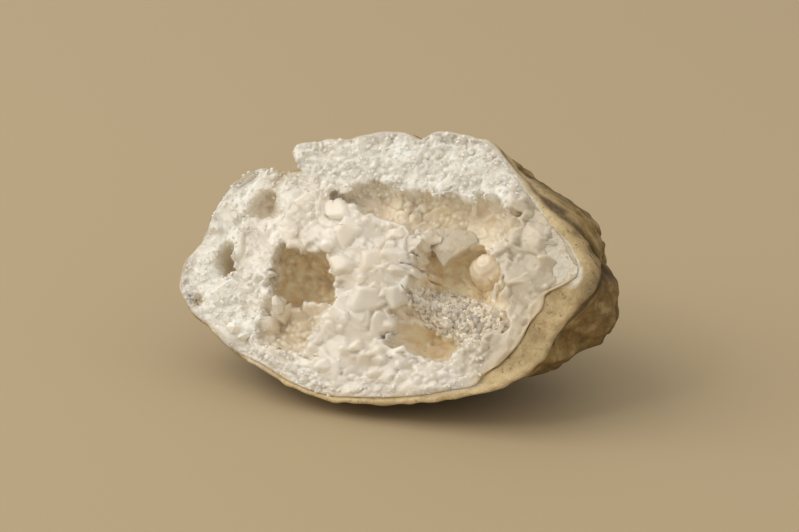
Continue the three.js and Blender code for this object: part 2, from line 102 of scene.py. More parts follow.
RIND_FORMS = [
    # name, angle round the face, depth behind it, height, reach in degrees, reach in depth
    ("upper shoulder", 27.6, 8.3, 2.3, 14, 7.5),
    ("lower shoulder", -1.2, 9.2, 3.8, 13, 7),
    ("shoulder ledge", 13.8, 11, -1.1, 5, 8),
    ("brow furrow", -6, 4.5, -2.2, 12, 2.4),
    ("low furrow", -26, 3.6, -1.5, 12, 2.2),
    ("shallow underside", -36, 9, -0.5, 20, 7),
    ("left cheek", 190, 10, 1.0, 26, 7),
    ("back knuckle", 105, 17, 1.8, 30, 8),
    ("back hollow", 150, 17, -1.8, 22, 7),
]


def waves(x, y, z, length):
    """Product and sum of sines in three slanted directions, between -1 and 1."""
    k = 2 * np.pi / length
    first = np.sin(k * (x + 0.4 * y) + 0.6) * np.sin(k * (0.9 * y - 0.3 * z) + 1.1)
    second = np.sin(k * (0.8 * x - 0.7 * y + 0.5 * z) + 2.0)
    return 0.65 * first + 0.35 * second * np.sin(k * (z + 0.5 * y) + 0.3)


def smooth_step(t):
    """Rises from 0 to 1 along 3t^2 - 2t^3."""
    t = np.clip(t, 0, 1)
    return t * t * (3 - 2 * t)


def hill(distance, span):
    """Bell curve of height 1: exp(-(distance / span)^2)."""
    return np.exp(-(distance * distance) / (span * span))


def corner_numbers(corner, seed):
    """A fixed number from 0 to 1 for every whole-numbered corner, mixed from its coordinates."""
    mixed = corner[..., 0] * 374761393 + corner[..., 1] * 668265263 + corner[..., 2] * 2147483647
    mixed = (mixed + seed * 974711) & 0x7FFFFFFF
    mixed = ((mixed ^ (mixed >> 13)) * 1274126177) & 0x7FFFFFFF
    mixed = ((mixed ^ (mixed >> 15)) * 668265263) & 0x7FFFFFFF
    return (mixed ^ (mixed >> 16)) / 0x7FFFFFFF


def cloud(points, length, seed):
    """Numbers at the corners of a cubic lattice, blended by smooth steps, from -1 to 1."""
    scaled = points / length
    corner = np.floor(scaled).astype(np.int64)
    part = smooth_step(scaled - corner)
    total = 0
    for bits in range(8):
        step = np.array([bits & 1, bits >> 1 & 1, bits >> 2 & 1])
        weight = np.prod(np.where(step == 1, part, 1 - part), axis=-1)
        total = total + weight * corner_numbers(corner + step, seed)
    return 2 * total - 1


def nearest_site(points, length, seed):
    """Nearest of the points scattered one to a lattice cell: the offset to it, in lattice
    lengths, and a number of its own."""
    scaled = points / length
    cell = np.floor(scaled).astype(np.int64)
    best = np.full(points.shape[:-1], 9.0)
    offset = np.zeros(points.shape)
    number = np.zeros(points.shape[:-1])
    for index in range(27):
        near = cell + np.array([index % 3 - 1, index // 3 % 3 - 1, index // 9 - 1])
        site = near + np.stack([corner_numbers(near, seed + k) for k in (1, 2, 3)], axis=-1)
        away = scaled - site
        distance = np.linalg.norm(away, axis=-1)
        closer = distance < best
        best = np.where(closer, distance, best)
        offset[closer] = away[closer]
        number = np.where(closer, corner_numbers(near, seed), number)
    return offset, number


def facets(points, length, seed, tilt):
    """A mosaic of flat facets: round each scattered site the height follows its own slope in a
    direction of its own, steeper for a larger tilt."""
    offset, number = nearest_site(points, length, seed)
    way = 2 * np.pi * ((number * 61.8) % 1)
    level = 2 * ((number * 23.1) % 1) - 1
    flat = np.sqrt(1 - level * level)
    rise = offset[..., 0] * flat * np.cos(way) + offset[..., 1] * flat * np.sin(way)
    rise = rise + offset[..., 2] * level
    steep = tilt * (0.4 + 0.6 * ((number * 37.7) % 1))
    return length * (steep * rise + 0.2 * (number - 0.5))


def broken_face(u, v):
    """Height of the break over the face plane: the left lobe lies lower, the plate beside
    the notch and the middle mass stand proud, with slow waves over all."""
    left_lobe = -2.3 * smooth_step((-16.5 - u) / 4)
    plate = 1.1 * hill(u + 9, 9) * hill(v - 16, 5)
    middle = 1.3 * hill(u + 2.5, 8) * hill(v + 1, 12)
    right_fall = -0.8 * smooth_step((u - 20) / 9)
    return left_lobe + plate + middle + right_fall + 0.45 * waves(u, v, 0 * u, 9)


def broken_grain(points):
    """Fine relief of the broken quartz and chalcedony: flat facets over slow swells."""
    return 0.3 * facets(points, 1.1, 71, 0.7) + 0.2 * cloud(points, 3.5, 73) - 0.1


def bare_share(points):
    """1 at the right and lower right, where the rind's own stone makes up the broken edge."""
    angle = np.degrees(np.arctan2(points[..., 1], points[..., 0]))
    return smooth_step((angle + 46) / 12) * smooth_step((8 - angle) / 10)


def bare_rim(rim):
    """The bare share along a rim curve, a little uneven."""
    return bare_share(rim) * (1 + 0.15 * cloud(np.column_stack([rim, 0 * rim[:, 0]]), 3.0, 79))


def outline_at(turns, inset=0.0):
    """Closed curve through the outline's points by the Catmull-Rom rule, moved inwards by
    the given number of rind thicknesses."""
    radius = np.hypot(OUTLINE[:, 0], OUTLINE[:, 1])
    points = OUTLINE[:, :2] * (1 - inset * OUTLINE[:, 2] / radius)[:, None]
    count = len(points)
    place = (turns % 1) * count
    start = np.floor(place).astype(int)
    t = (place - start)[:, None]
    a, b, c, d = (points[(start + k) % count] for k in (-1, 0, 1, 2))
    bend = (2 * a - 5 * b + 4 * c - d) * t ** 2 + (-a + 3 * b - 3 * c + d) * t ** 3
    return 0.5 * (2 * b + (c - a) * t + bend)


SEAMS = [
    # name, depth, width, line through angles round the face and depths behind it
    ("upper seam", 0.55, 0.5, [(56, 2.2), (50, 1.7), (42, 1.2), (37, 1.2), (33, 1.4), (28, 2.6)]),
    ("long seam", 0.75, 0.6,
     [(31, 1.4), (26, 1.7), (21.6, 2.6), (18.5, 3.8), (16.6, 5), (14.7, 6.6), (12, 8)]),
    ("brow groove", 1.0, 0.8,
     [(12, 8), (9, 5.4), (5, 3.6), (1, 2.4), (-6, 1.9), (-15, 1.8), (-24, 1.5), (-31, 1.4)]),
    ("low ridge", -0.6, 0.9, [(-28, 3.0), (-23, 4.2), (-17, 6.0), (-12, 8.4), (-7, 10)]),
    ("side crack", 0.4, 0.4, [(3, 8), (-2, 9.5), (-6, 12), (-8, 15)]),
    ("back crack", 0.4, 0.5, [(24, 7), (22, 10), (25, 13), (22, 17)]),
    ("brow lump", -0.8, 2.0, [(12, 2.2), (4, 1.4)]),
    ("high seam", 0.5, 0.5, [(58, 5), (48, 6.5), (40, 6), (34, 7.5), (28, 7)]),
]


def seam_relief(angle, behind):
    """Grooves, and ridges where the depth is negative, with bell-shaped sections along lines
    drawn over the outside, half a millimetre to a degree."""
    here = np.stack([angle * 0.5, behind], axis=-1)
    height = 0 * behind
    for _, depth, width, line in SEAMS:
        ends = np.array(line) * (0.5, 1.0)
        nearest = np.full(behind.shape, 99.0)
        for a, b in zip(ends[:-1], ends[1:]):
            t = np.clip((here - a) @ (b - a) / ((b - a) @ (b - a)), 0, 1)
            nearest = np.minimum(nearest, np.linalg.norm(here - a - t[..., None] * (b - a), axis=-1))
        height = height - depth * hill(nearest, width)
    return height


def rind_forms(points):
    """The named swellings and furrows, each a bell in angle and depth, over slow waves."""
    angle = np.degrees(np.arctan2(points[..., 1], points[..., 0]))
    height = 0.55 * waves(points[..., 0], points[..., 1], points[..., 2], 13)
    for _, middle, depth, rise, reach, deep in RIND_FORMS:
        round_it = hill((angle - middle + 540) % 360 - 180, reach)
        height = height + rise * round_it * hill(-points[..., 2] - depth, deep)
    return height * smooth_step(-points[..., 2] / 3)


def body_wall(rim, turn):
    """Outer wall from the rim to the back pole: the rim shrinks as cos(turn)^(2/n) about a
    drifting middle while the depth grows as sin(turn)^(2/n), and the outline fades to an oval."""
    spread = np.cos(turn)[:, None] ** (2 / BODY_FULLNESS)
    back = np.sin(turn)[:, None] ** (2 / BODY_FULLNESS)
    oval = 1 / np.hypot(rim[:, 0] / BACK_OVAL[0], rim[:, 1] / BACK_OVAL[1])
    fade = 1 + (oval - 1) * back ** OUTLINE_FADE
    u = rim[:, 0] * fade * spread + BACK_DRIFT[0] * back
    v = rim[:, 1] * fade * spread + BACK_DRIFT[1] * back
    w = broken_face(rim[:, 0], rim[:, 1]) * (1 - back) - BODY_DEPTH * back
    points = np.stack([u, v, w], axis=-1)
    outwards = np.stack([rim[:, 0] * spread, rim[:, 1] * spread, -0.8 * BODY_DEPTH * back + 0 * u], axis=-1)
    outwards /= np.linalg.norm(outwards, axis=-1, keepdims=True)
    return points, outwards


def stand(points):
    """Tips the level stone up about X and sets it over its worn flat, in metres."""
    sin_t, cos_t = np.sin(FACE_LOOKS_UP), np.cos(FACE_LOOKS_UP)
    u, v, w = points[..., 0], points[..., 1], points[..., 2]
    stood = np.stack([u, v * sin_t - w * cos_t, v * cos_t + w * sin_t], axis=-1)
    return (stood + FACE_MIDDLE) * MM


def skin_object(name, points, faces, attributes=None, smooth=True):
    """Mesh object from an array of points and an array of faces with three or four corners."""
    mesh = bpy.data.meshes.new(name)
    mesh.vertices.add(len(points))
    mesh.vertices.foreach_set("co", np.ascontiguousarray(points, dtype=np.float32).ravel())
    sides = np.concatenate([np.full(len(f), f.shape[1]) for f in faces])
    corners = np.concatenate([f.ravel() for f in faces])
    mesh.loops.add(len(corners))
    mesh.loops.foreach_set("vertex_index", corners.astype(np.int32))
    mesh.polygons.add(len(sides))
    starts = np.concatenate([[0], np.cumsum(sides)[:-1]])
    mesh.polygons.foreach_set("loop_start", starts.astype(np.int32))
    for key, values in (attributes or {}).items():
        layer = mesh.attributes.new(key, "FLOAT", "POINT")
        layer.data.foreach_set("value", np.ascontiguousarray(values, dtype=np.float32).ravel())
    mesh.update(calc_edges=True)
    mesh.polygons.foreach_set("use_smooth", np.full(len(sides), smooth))
    piece = bpy.data.objects.new(name, mesh)
    bpy.context.scene.collection.objects.link(piece)
    return piece


def ring_faces(rows, columns, flip=False):
    """Quads between neighbouring rings of a closed grid, and fans at its two pole points,
    which follow the grid's own points in the list."""
    row, column = np.meshgrid(np.arange(rows - 1), np.arange(columns), indexing="ij")
    after = (column + 1) % columns
    quads = np.stack([row * columns + column, row * columns + after,
                      (row + 1) * columns + after, (row + 1) * columns + column], axis=-1)
    edge = np.arange(columns)
    first = np.stack([np.full(columns, rows * columns), (edge + 1) % columns, edge], axis=-1)
    last_row = (rows - 1) * columns
    last = np.stack([np.full(columns, rows * columns + 1), last_row + edge,
                     last_row + (edge + 1) % columns], axis=-1)
    faces = [quads.reshape(-1, 4), np.concatenate([first, last])]
    return [f[:, ::-1] for f in faces] if flip else faces


def with_poles(rings):
    """A ring grid's points in one list, followed by the middles of its first and last ring."""
    poles = np.array([rings[0].mean(axis=0), rings[-1].mean(axis=0)])
    return np.concatenate([rings.reshape(-1, 3), poles])


def pole_values(values, first, last):
    """A ring grid's values in one list, followed by those of the two poles."""
    return np.concatenate([values.ravel(), [first, last]])


LINING = [
    # depth behind the break, share of the inner edge's reach
    (15.0, 0.58), (6.0, 0.92), (1.0, 0.988),
]
BRIM_ROWS = 9
BRIM_ROUNDING = 0.3
BRIM_DROP = 0.35
BARE_GROOVE = 0.5
SKIN_WIDTH = 0.8


def lining_rings(inner):
    """Rings down the inner wall: the inner edge drawn in to its share at each depth."""
    depth, share = np.array(LINING).T[..., None]
    level = broken_face(inner[:, 0], inner[:, 1])[None] - depth
    return np.dstack([inner[None] * share[..., None], level])


def brim_rings(inner, outer, bare):
    """Rings over the broken edge: grainy, rounded off outside as a square, lower inside where
    the crust lies on it, with a bell-shaped groove in the bare stone. Returns them and how
    freshly broken each point is."""
    share = np.linspace(0, 1, BRIM_ROWS)[:, None]
    edge = inner[None] + (outer - inner)[None] * share[..., None]
    flat = np.dstack([edge, 0 * edge[..., 0]])
    round_off = -BRIM_ROUNDING * np.maximum(0.0, (share - 0.7) / 0.3) ** 2
    level = broken_face(edge[..., 0], edge[..., 1]) + broken_grain(flat) + round_off
    level = level - BRIM_DROP * smooth_step((0.75 - share) / 0.5)
    level = level - BARE_GROOVE * bare * hill(share - 0.55, 0.3)
    low_part = smooth_step((-12 - outer[:, 1]) / 4)
    right_part = smooth_step((outer[:, 0] - 20) / 4)
    skin_width = SKIN_WIDTH * np.maximum(low_part, right_part)
    width = np.linalg.norm(outer - inner, axis=-1)
    fresh = smooth_step(((1 - share) * width - skin_width) / 0.5) * (1 - bare)
    return np.dstack([edge, level]), fresh


WALL_ROWS = 162
# Spacing and height, or depth, of each form on the skin, and how far in the whole skin lies
KNOBS = (5.5, 0.9)
GRAINS = (2.1, 0.45)
PITS = (1.9, 0.45)
BANDS = (0.9, 0.22)
GRIT = (0.8, 0.14)
SKIN_SINK = 0.41


def even_turns(count):
    """Angles between the rim and the back pole that step evenly along the wall's section."""
    turn = np.linspace(0, np.pi / 2, 4000)
    across = 26 * np.cos(turn) ** (2 / BODY_FULLNESS)
    deep = BODY_DEPTH * np.sin(turn) ** (2 / BODY_FULLNESS)
    way = np.concatenate([[0], np.cumsum(np.hypot(np.diff(across), np.diff(deep)))])
    return np.interp(np.linspace(0, way[-1], count + 2), way, turn)[1:-1]


def outside_rings(outer):
    """Rings from the rim to near the back pole, with knobs and grains as half balls, pits,
    weathered bands and the seams on them. Returns them, how low each point lies and how deep
    in a seam."""
    turn = even_turns(WALL_ROWS)
    wall, outwards = body_wall(outer, turn)
    wall[..., 2] -= 0.5 * hill(turn, 0.2)[:, None]
    relief = rind_forms(wall)
    knobs = 0.55 - np.linalg.norm(nearest_site(wall, KNOBS[0], 21)[0], axis=-1)
    grains = 0.5 - np.linalg.norm(nearest_site(wall, GRAINS[0], 31)[0], axis=-1)
    pits = smooth_step((cloud(wall, PITS[0], 51) - 0.45) / 0.3)
    angle = (np.degrees(np.arctan2(wall[..., 1], wall[..., 0])) + 180) % 360 - 180
    seams = seam_relief(angle + 1.5 * cloud(wall, 2.5, 52), -wall[..., 2])
    across = np.dstack([wall[..., 2] + angle * 0.12, angle * 0.05, 0 * angle])
    bands = cloud(across, BANDS[0], 53)
    skin = KNOBS[1] * knobs + GRAINS[1] * grains + GRIT[1] * cloud(wall, GRIT[0], 41)
    skin = skin - PITS[1] * pits - SKIN_SINK
    skin = skin + BANDS[1] * bands * smooth_step(cloud(wall, 7, 54) + 0.6) + seams
    skin = skin * smooth_step(turn / 0.12)[:, None]
    low = -(0.2 + relief * 0.1 + skin)
    return wall + outwards * (relief + skin)[..., None], low, np.clip(-seams * 1.8, 0, 1)


def rind_points():
    """All rings of the rind, from the inner wall out over the broken edge and round the
    outside, with how low, how fresh and how deep in a seam each point is."""
    turns = np.arange(RIND_COLUMNS) / RIND_COLUMNS
    outer = outline_at(turns)
    inner = outline_at(turns, 1.0)
    wobble = 0.18 * cloud(np.column_stack([outer, 0 * turns]), 1.6, 5) - 0.12
    outer = outer * (1 + wobble / np.hypot(outer[:, 0], outer[:, 1]))[:, None]
    bare = bare_rim(outer)
    lining = lining_rings(inner)
    brim, fresh = brim_rings(inner, outer, bare)
    wall, low, seam = outside_rings(outer)
    inside = np.ones(lining.shape[:2])
    lowness = np.concatenate([inside, 0.3 * bare - 0.2 + 0 * fresh, low])
    freshness = np.concatenate([inside, fresh, 0 * low])
    seams = np.concatenate([0 * inside, 0 * fresh, seam])
    return np.concatenate([lining, brim, wall]), lowness, freshness, seams


# Painted shade: an umber patch on the rind round the brow lump at the right, where a groove lies in shadow.
# It is added into the seam value.
BROW_SHADE_MIDDLE = (29.2, 2.2)
BROW_SHADE_REACH = 2.2
BROW_SHADE_SHARE = 0.55


def build_rind():
    """Rind mesh with the worn flat pressed in level at z = 0."""
    rings, low, fresh, seam = rind_points()
    every = with_poles(rings)
    behind = -every[:, 2]
    brow = hill(np.linalg.norm(every[:, :2] - BROW_SHADE_MIDDLE, axis=-1), BROW_SHADE_REACH) * (behind < 6)
    attributes = {
        "behind": behind,
        "lowness": pole_values(low, 1.0, 0.0),
        "fresh": pole_values(fresh, 1.0, 0.0),
        "pale": smooth_step((2.5 - behind) / 2) * smooth_step((8 - every[:, 0] + every[:, 1]) / 12),
        # The seam value holds the seams' umber and the painted shade round the brow.
        "seam": pole_values(seam, 0.0, 0.0) + BROW_SHADE_SHARE * brow,
    }
    points = stand(every)
    points[:, 2] = np.maximum(points[:, 2], 0.0)
    return skin_object("rind_skin", points, ring_faces(*rings.shape[:2]), attributes)


class Wire:
    """A socket that adds Math, Mix or Vector Math nodes when it is calculated with."""

    def __init__(self, tree, socket):
        self.tree = tree
        self.socket = socket

    def node(self, kind, settings=None, inputs=None, output=0):
        """Adds a node of any type, sets its properties, then its sockets' values or links."""
        made = self.tree.nodes.new(kind)
        for key, value in (settings or {}).items():
            setattr(made, key, value)
        for key, value in (inputs or {}).items():
            if isinstance(value, Wire):
                self.tree.links.new(value.socket, made.inputs[key])
            else:
                made.inputs[key].default_value = value
        return Wire(self.tree, made.outputs[output])

    def math(self, operation, *values, clamp=False):
        """A Math node on this value and others."""
        settings = {"operation": operation, "use_clamp": clamp}
        return self.node("ShaderNodeMath", settings, dict(enumerate((self, *values))))

    def __add__(self, other):
        return self.math("ADD", other)

    def __mul__(self, other):
        return self.math("MULTIPLY", other)

    def __sub__(self, other):
        return self.math("SUBTRACT", other)

    def __rsub__(self, other):
        return (self * -1.0).math("ADD", other)

    __radd__ = __add__
    __rmul__ = __mul__

    def between(self, low, high):
        """0 at or under low, 1 at or over high, and straight between."""
        return ((self - low) * (1.0 / (high - low))).math("ADD", 0.0, clamp=True)

    def tint(self, colour):
        """A colour times this value."""
        settings = {"operation": "SCALE"}
        return self.node("ShaderNodeVectorMath", settings, {0: colour, 3: self})

    def blend(self, first, second):
        """Mixes two colours by this value from 0 to 1."""
        settings = {"data_type": "RGBA"}
        colours = {6: first, 7: second}
        inputs = {0: self}
        for key, colour in colours.items():
            inputs[key] = colour if isinstance(colour, Wire) else (*colour, 1.0)
        return self.node("ShaderNodeMix", settings, inputs, output=2)


def new_material(name):
    """A new material, its shader node and a wire at its Object coordinates."""
    material = bpy.data.materials.new(name)
    material.use_nodes = True
    tree = material.node_tree
    shader = tree.nodes["Principled BSDF"]
    place = tree.nodes.new("ShaderNodeTexCoord")
    return material, shader, Wire(tree, place.outputs["Object"])


def noise(place, size_mm, detail=3.0, roughness=0.5):
    """Noise whose blotches are about the given size across."""
    inputs = {"Vector": place, "Scale": 1000.0 / size_mm, "Detail": detail, "Roughness": roughness}
    return place.node("ShaderNodeTexNoise", {}, inputs)


def attribute(place, name):
    """A value stored at the mesh's points."""
    return place.node("ShaderNodeAttribute", {"attribute_name": name}, {}, output=2)


def plug(shader, name, wire):
    """Links a wire to one of the shader's sockets."""
    wire.tree.links.new(wire.socket, shader.inputs[name])


def bump(place, height, strength, distance_mm):
    """Bump node from a height, for a Normal socket."""
    inputs = {"Height": height, "Strength": strength, "Distance": distance_mm * MM}
    return place.node("ShaderNodeBump", {}, inputs)


CREAM = (0.74, 0.58, 0.33)
TAN = (0.34, 0.225, 0.08)
PATINA = (0.15, 0.095, 0.035)
GREY_PATINA = (0.20, 0.15, 0.07)
RUST = (0.38, 0.18, 0.055)
UMBER = (0.09, 0.055, 0.022)
SPECK = (0.09, 0.06, 0.03)
BUFF = (0.52, 0.39, 0.20)
OLIVE = (0.20, 0.17, 0.08)
PALE_RIM = (0.72, 0.62, 0.46)
CHALCEDONY = (0.80, 0.75, 0.63)
CHALCEDONY_SHADE = (0.72, 0.63, 0.48)


def limestone():
    """Cream at the broken edge, white where the break is fresh, tan behind it and grey-brown
    patina further back, darker in the pits and furrows, with streaks and rusty spots."""
    material, shader, place = new_material("limestone_rind")
    behind = attribute(place, "behind")
    low = attribute(place, "lowness")
    broad = noise(place, 9.0, 4.0, 0.55)
    fine = noise(place, 1.4, 5.0, 0.6)
    colour = (behind + broad * 5.0 - 2.5).between(0.2, 4.5).blend(CREAM, TAN)
    patina = noise(place, 4.0, 4.0, 0.6).between(0.35, 0.65).blend(PATINA, GREY_PATINA)
    colour = ((behind + broad * 12.0 - 6.0).between(4.0, 11.0) * 0.8).blend(colour, patina)
    colour = ((low * 0.9 + fine * 0.9 - 0.4).between(0.0, 0.7) * 0.8).blend(colour, PATINA)
    stretch = {0: place, 1: (0.3, 1.0, 0.6)}
    stretched = place.node("ShaderNodeVectorMath", {"operation": "MULTIPLY"}, stretch)
    streaks = noise(stretched, 1.6, 4.0, 0.6)
    outside = (behind + broad * 3.0 - 1.5).between(0.8, 3.0)
    colour = (streaks.between(0.52, 0.66) * outside * 0.75).blend(colour, UMBER)
    colour = (streaks.between(0.46, 0.34) * outside * 0.6).blend(colour, BUFF)
    rust = noise(place, 2.6, 3.0, 0.5).between(0.60, 0.74)
    colour = (rust * 0.45).blend(colour, RUST)
    colour = (noise(place, 6.0, 3.0, 0.5).between(0.55, 0.7) * outside * 0.5).blend(colour, OLIVE)
    # Umber along the seams, deepest in their grooves: partly dark joints, partly painted shade, plus the
    # painted shade round the brow.
    colour = (attribute(place, "seam") * (fine + 0.4) * 0.9).blend(colour, UMBER)
    specks = noise(place, 0.8, 4.0, 0.7).between(0.58, 0.68)
    colour = (specks * 0.6).blend(colour, SPECK)
    colour = (attribute(place, "pale") + fine * 0.8 - 0.4).between(0.1, 0.9).blend(colour, PALE_RIM)
    white = broad.between(0.35, 0.7).blend(CHALCEDONY, CHALCEDONY_SHADE)
    colour = (attribute(place, "fresh") + fine * 0.4 - 0.2).between(0.2, 0.7).blend(colour, white)
    plug(shader, "Base Color", colour)
    plug(shader, "Roughness", (fine * 0.25) + 0.68)
    grains = noise(place, 0.35, 4.0, 0.7)
    chips = place.node("ShaderNodeTexVoronoi", {}, {"Vector": place, "Scale": 1000.0 / 1.3})
    plug(shader, "Normal", bump(place, grains + fine * 2.5 + chips * 1.2, 0.8, 0.2))
    shader.inputs["Specular IOR Level"].default_value = 0.35
    return material


rind = build_rind()
rind.data.materials.append(limestone())
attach(rind, "root")
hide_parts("rind")


# Crust
# Quartz grown inwards from the rind until it all but filled the nodule. It is milky white
# where it broke, in crystals grown into one another, and its hollows reach down to clearer,
# browner quartz.
CRUST_COLUMNS = 600
CRUST_ROWS = 158
CRUST_INSET = 0.25
HOLLOWS = [
    # name, middle of the mouth, depth, steepness, corners of the mouth
    ("lower left", (-12.6, -9.8), 4.2, 0.8,
     [(-8.2, -9.4), (-6.9, -5.6), (-9.0, -4.8), (-12.5, -5.4), (-16.4, -6.2), (-17.9, -8.8),
      (-18.1, -10.4), (-17.4, -12.4), (-15.2, -13.9), (-11.4, -14.0), (-9.1, -11.9)]),
    ("right hollow", (10.4, -2.6), 6.6, 0.8,
     [(18.6, -3.5), (17.0, 0.8), (15.8, 4.6), (12.4, 6.8), (8.0, 6.0), (5.2, 5.3), (3.3, 3.6),
      (3.6, 0.0), (4.0, -3.5), (2.9, -7.2), (3.5, -10.0), (5.4, -11.3), (9.9, -11.8), (14.9, -8.7),
      (18.6, -6.7)]),
    ("right deep", (10.0, 1.4), 9.2, 0.7,
     [(15.6, 0.6), (15.2, 4.2), (12.0, 6.0), (8.0, 5.5), (4.6, 4.4), (3.9, 1.0), (4.4, -2.0),
      (8.0, -2.4), (12.5, -2.7), (15.0, -2.4)]),
    ("basin", (7.4, -9.0), 8.0, 0.8,
     [(13.2, -8.6), (9.4, -7.4), (5.0, -6.4), (3.2, -7.0), (3.6, -9.8), (5.6, -11.2), (9.7, -11.5)]),
    ("upper right", (9.5, 8.4), 4.8, 0.9,
     [(18.4, 8.2), (17.2, 10.6), (15.2, 12.2), (10.6, 11.9), (5.7, 11.1), (-1.5, 11.4), (-0.6, 8.0),
      (3.0, 5.8), (5.5, 4.6), (8.5, 4.2), (12.7, 4.3), (16.8, 5.8)]),
    ("crevice", (-3.6, 9.6), 3.8, 0.7,
     [(2.0, 9.4), (1.0, 11.9), (-1.0, 12.0), (-5.3, 11.7), (-8.0, 10.6), (-10.5, 9.2), (-7.1, 8.2),
      (-3.4, 7.4), (0.5, 7.2)]),
    ("upper left", (-21.8, 7.4), 2.8, 1.0,
     [(-19.2, 6.2), (-19.6, 7.8), (-20.8, 9.5), (-22.2, 9.6), (-23.5, 8.6), (-24.1, 6.6),
      (-23.1, 5.3), (-20.9, 5.1)]),
    ("left slot", (-26.0, -1.6), 4.6, 0.5,
     [(-24.2, -3.0), (-25.1, -1.4), (-25.4, 0.8), (-26.8, 0.9), (-27.1, -1.2), (-26.9, -3.0),
      (-25.8, -3.9)]),
    ("left pit", (-28.9, -8.2), 1.0, 1.0,
     [(-27.9, -8.1), (-28.2, -7.5), (-28.9, -7.2), (-29.6, -7.5), (-29.9, -8.2), (-29.5, -9.0),
      (-28.8, -9.2), (-28.2, -8.8)]),
    ("window", (-12.2, -2.7), 10.0, 0.7,
     [(-6.5, -5.4), (-6.7, -2.8), (-8.1, -2.1), (-8.9, -0.1), (-12.2, 1.1), (-15.4, 0.9),
      (-16.2, 1.7), (-17.2, 0.4), (-17.8, -3.2), (-16.8, -6.4), (-12.5, -7.2), (-9.0, -6.4)]),
]
WINDOW_UNDERCUT = 0.25
WINDOW_DRIFT = (0.4, 0.6)
MOUNDS = [
    # name, middle, depth of its top, half sizes along and across, height, turn in degrees
    ("ledge", (11.2, -4.7), 4.2, 7.4, 3.0, 3.6, -14),
    ("ringed knob", (13.6, 3.0), 3.4, 2.9, 2.6, 3.4, 0),
    ("floor swell", (-12.4, -10.6), 3.2, 3.4, 2.4, 2.0, 20),
]


def mouth_share(u, v, middle, corners):
    """How far out a point lies in a hollow's mouth, 0 in the middle and 1 on the outline: its
    distance from the middle over the outline's in the same direction. The edge is ragged."""
    away = np.array(corners) - middle
    angle = np.unwrap(np.arctan2(away[:, 1], away[:, 0]))
    reach = np.hypot(away[:, 0], away[:, 1])
    turn = 2 * np.pi
    angle = np.concatenate([angle - turn, angle, angle + turn])
    du, dv = u - middle[0], v - middle[1]
    seen = (np.arctan2(dv, du) - angle[len(corners)]) % turn + angle[len(corners)]
    edge = np.interp(seen, angle, np.tile(reach, 3))
    place = np.stack([u, v, 0 * u], axis=-1)
    ragged = 1 + 0.13 * cloud(place, 2.0, 61) + 0.09 * cloud(place, 0.9, 62)
    return np.hypot(du, dv) / edge * ragged


def oval_place(u, v, middle, along, across, turn):
    """Place along and across an oval turned by some degrees, in its half sizes."""
    turn = np.radians(turn)
    a = ((u - middle[0]) * np.cos(turn) + (v - middle[1]) * np.sin(turn)) / along
    b = ((v - middle[1]) * np.cos(turn) - (u - middle[0]) * np.sin(turn)) / across
    return a, b


def crust_level(u, v):
    """Carries a point of the break down into the hollows. A hollow's depth follows a half ball,
    (1 - share^2)^(p/2), and the deeper of two wins. The window reaches back under its mouth: it
    runs along r = cos(q)(1 + k sin 2q), depth = sin(q)^p, with q = (1 - share) times a right
    angle. The mounds are half balls on top."""
    depth = 0 * u
    away = np.zeros((2, *u.shape))
    for name, middle, deep, steepness, corners in HOLLOWS:
        share = mouth_share(u, v, middle, corners)
        fall = np.clip(1 - share * share, 0, 1) ** (steepness / 2)
        if name == "window":
            q = np.clip(1 - share, 0, 1) * np.pi / 2
            fall = np.sin(q) ** steepness
            spread = np.cos(q) * (1 + WINDOW_UNDERCUT * np.sin(2 * q)) / np.maximum(share, 0.002) - 1
            spread = np.where(q > 0, spread, 0.0) * smooth_step((deep * fall - depth) / 1.5)
            away = np.stack([(u - middle[0]) * spread + WINDOW_DRIFT[0] * fall,
                             (v - middle[1]) * spread + WINDOW_DRIFT[1] * fall])
        gap = depth - deep * fall
        deeper = depth - gap / 2 + np.sqrt(gap * gap + 0.16) / 2 - 0.2
        depth = np.where(share < 1, np.maximum(deeper, depth), depth)
    u, v = u + away[0], v + away[1]
    for _, middle, sink, along, across, height, turn in MOUNDS:
        a, b = oval_place(u, v, middle, along, across, turn)
        round_top = sink + height * (1 - np.sqrt(np.clip(1 - a * a - b * b, 0, 1)))
        depth = np.where(a * a + b * b < 1, np.minimum(depth, round_top), depth)
    return np.stack([u, v, broken_face(u, v) - depth], axis=-1), depth


def grid_normals(points):
    """Unit normals of a closed ring grid from the differences of its neighbours."""
    along = np.roll(points, -1, axis=1) - np.roll(points, 1, axis=1)
    normal = np.cross(np.gradient(points, axis=0), along)
    return normal / np.maximum(np.linalg.norm(normal, axis=-1, keepdims=True), 1e-9)


def unit(vectors):
    """Vectors of length 1."""
    return vectors / np.maximum(np.linalg.norm(vectors, axis=-1, keepdims=True), 1e-9)


def crust_feet(surface, spacing, chance, seed):
    """Spots of a surface (points, normals, depths) about a spacing apart: one at random from
    each cell of a cubic lattice, kept as often as the chance at its (u, v, depth) says."""
    random = np.random.default_rng(seed)
    points, normals, depths = (part.reshape(-1, part.shape[-1]) for part in surface)
    order = random.permutation(len(points))
    cell = np.floor(points[order] / spacing).astype(int)
    picked = order[np.unique(cell, axis=0, return_index=True)[1]]
    likely = chance(points[picked, 0], points[picked, 1], depths[picked, 0])
    picked = picked[random.uniform(size=len(picked)) < likely]
    return points[picked], normals[picked], depths[picked, 0]


def milky_share(u, v):
    """1 in the milky middle mass and 0 well outside it."""
    return hill(u + 1.6, 6.0) * smooth_step((9.5 - v) / 3) * smooth_step((v + 16) / 3)


def medium_chance(u, v, depth):
    """All over but on the smooth right wall and the milky middle, thinner in the depths."""
    right_wall = smooth_step((u - 16) / 2)
    lobe = 1 - 0.5 * smooth_step((-17 - u) / 4)
    return lobe * (1 - milky_share(u, v)) ** 4 * (1 - 0.9 * right_wall) * smooth_step((14 - depth) / 5)


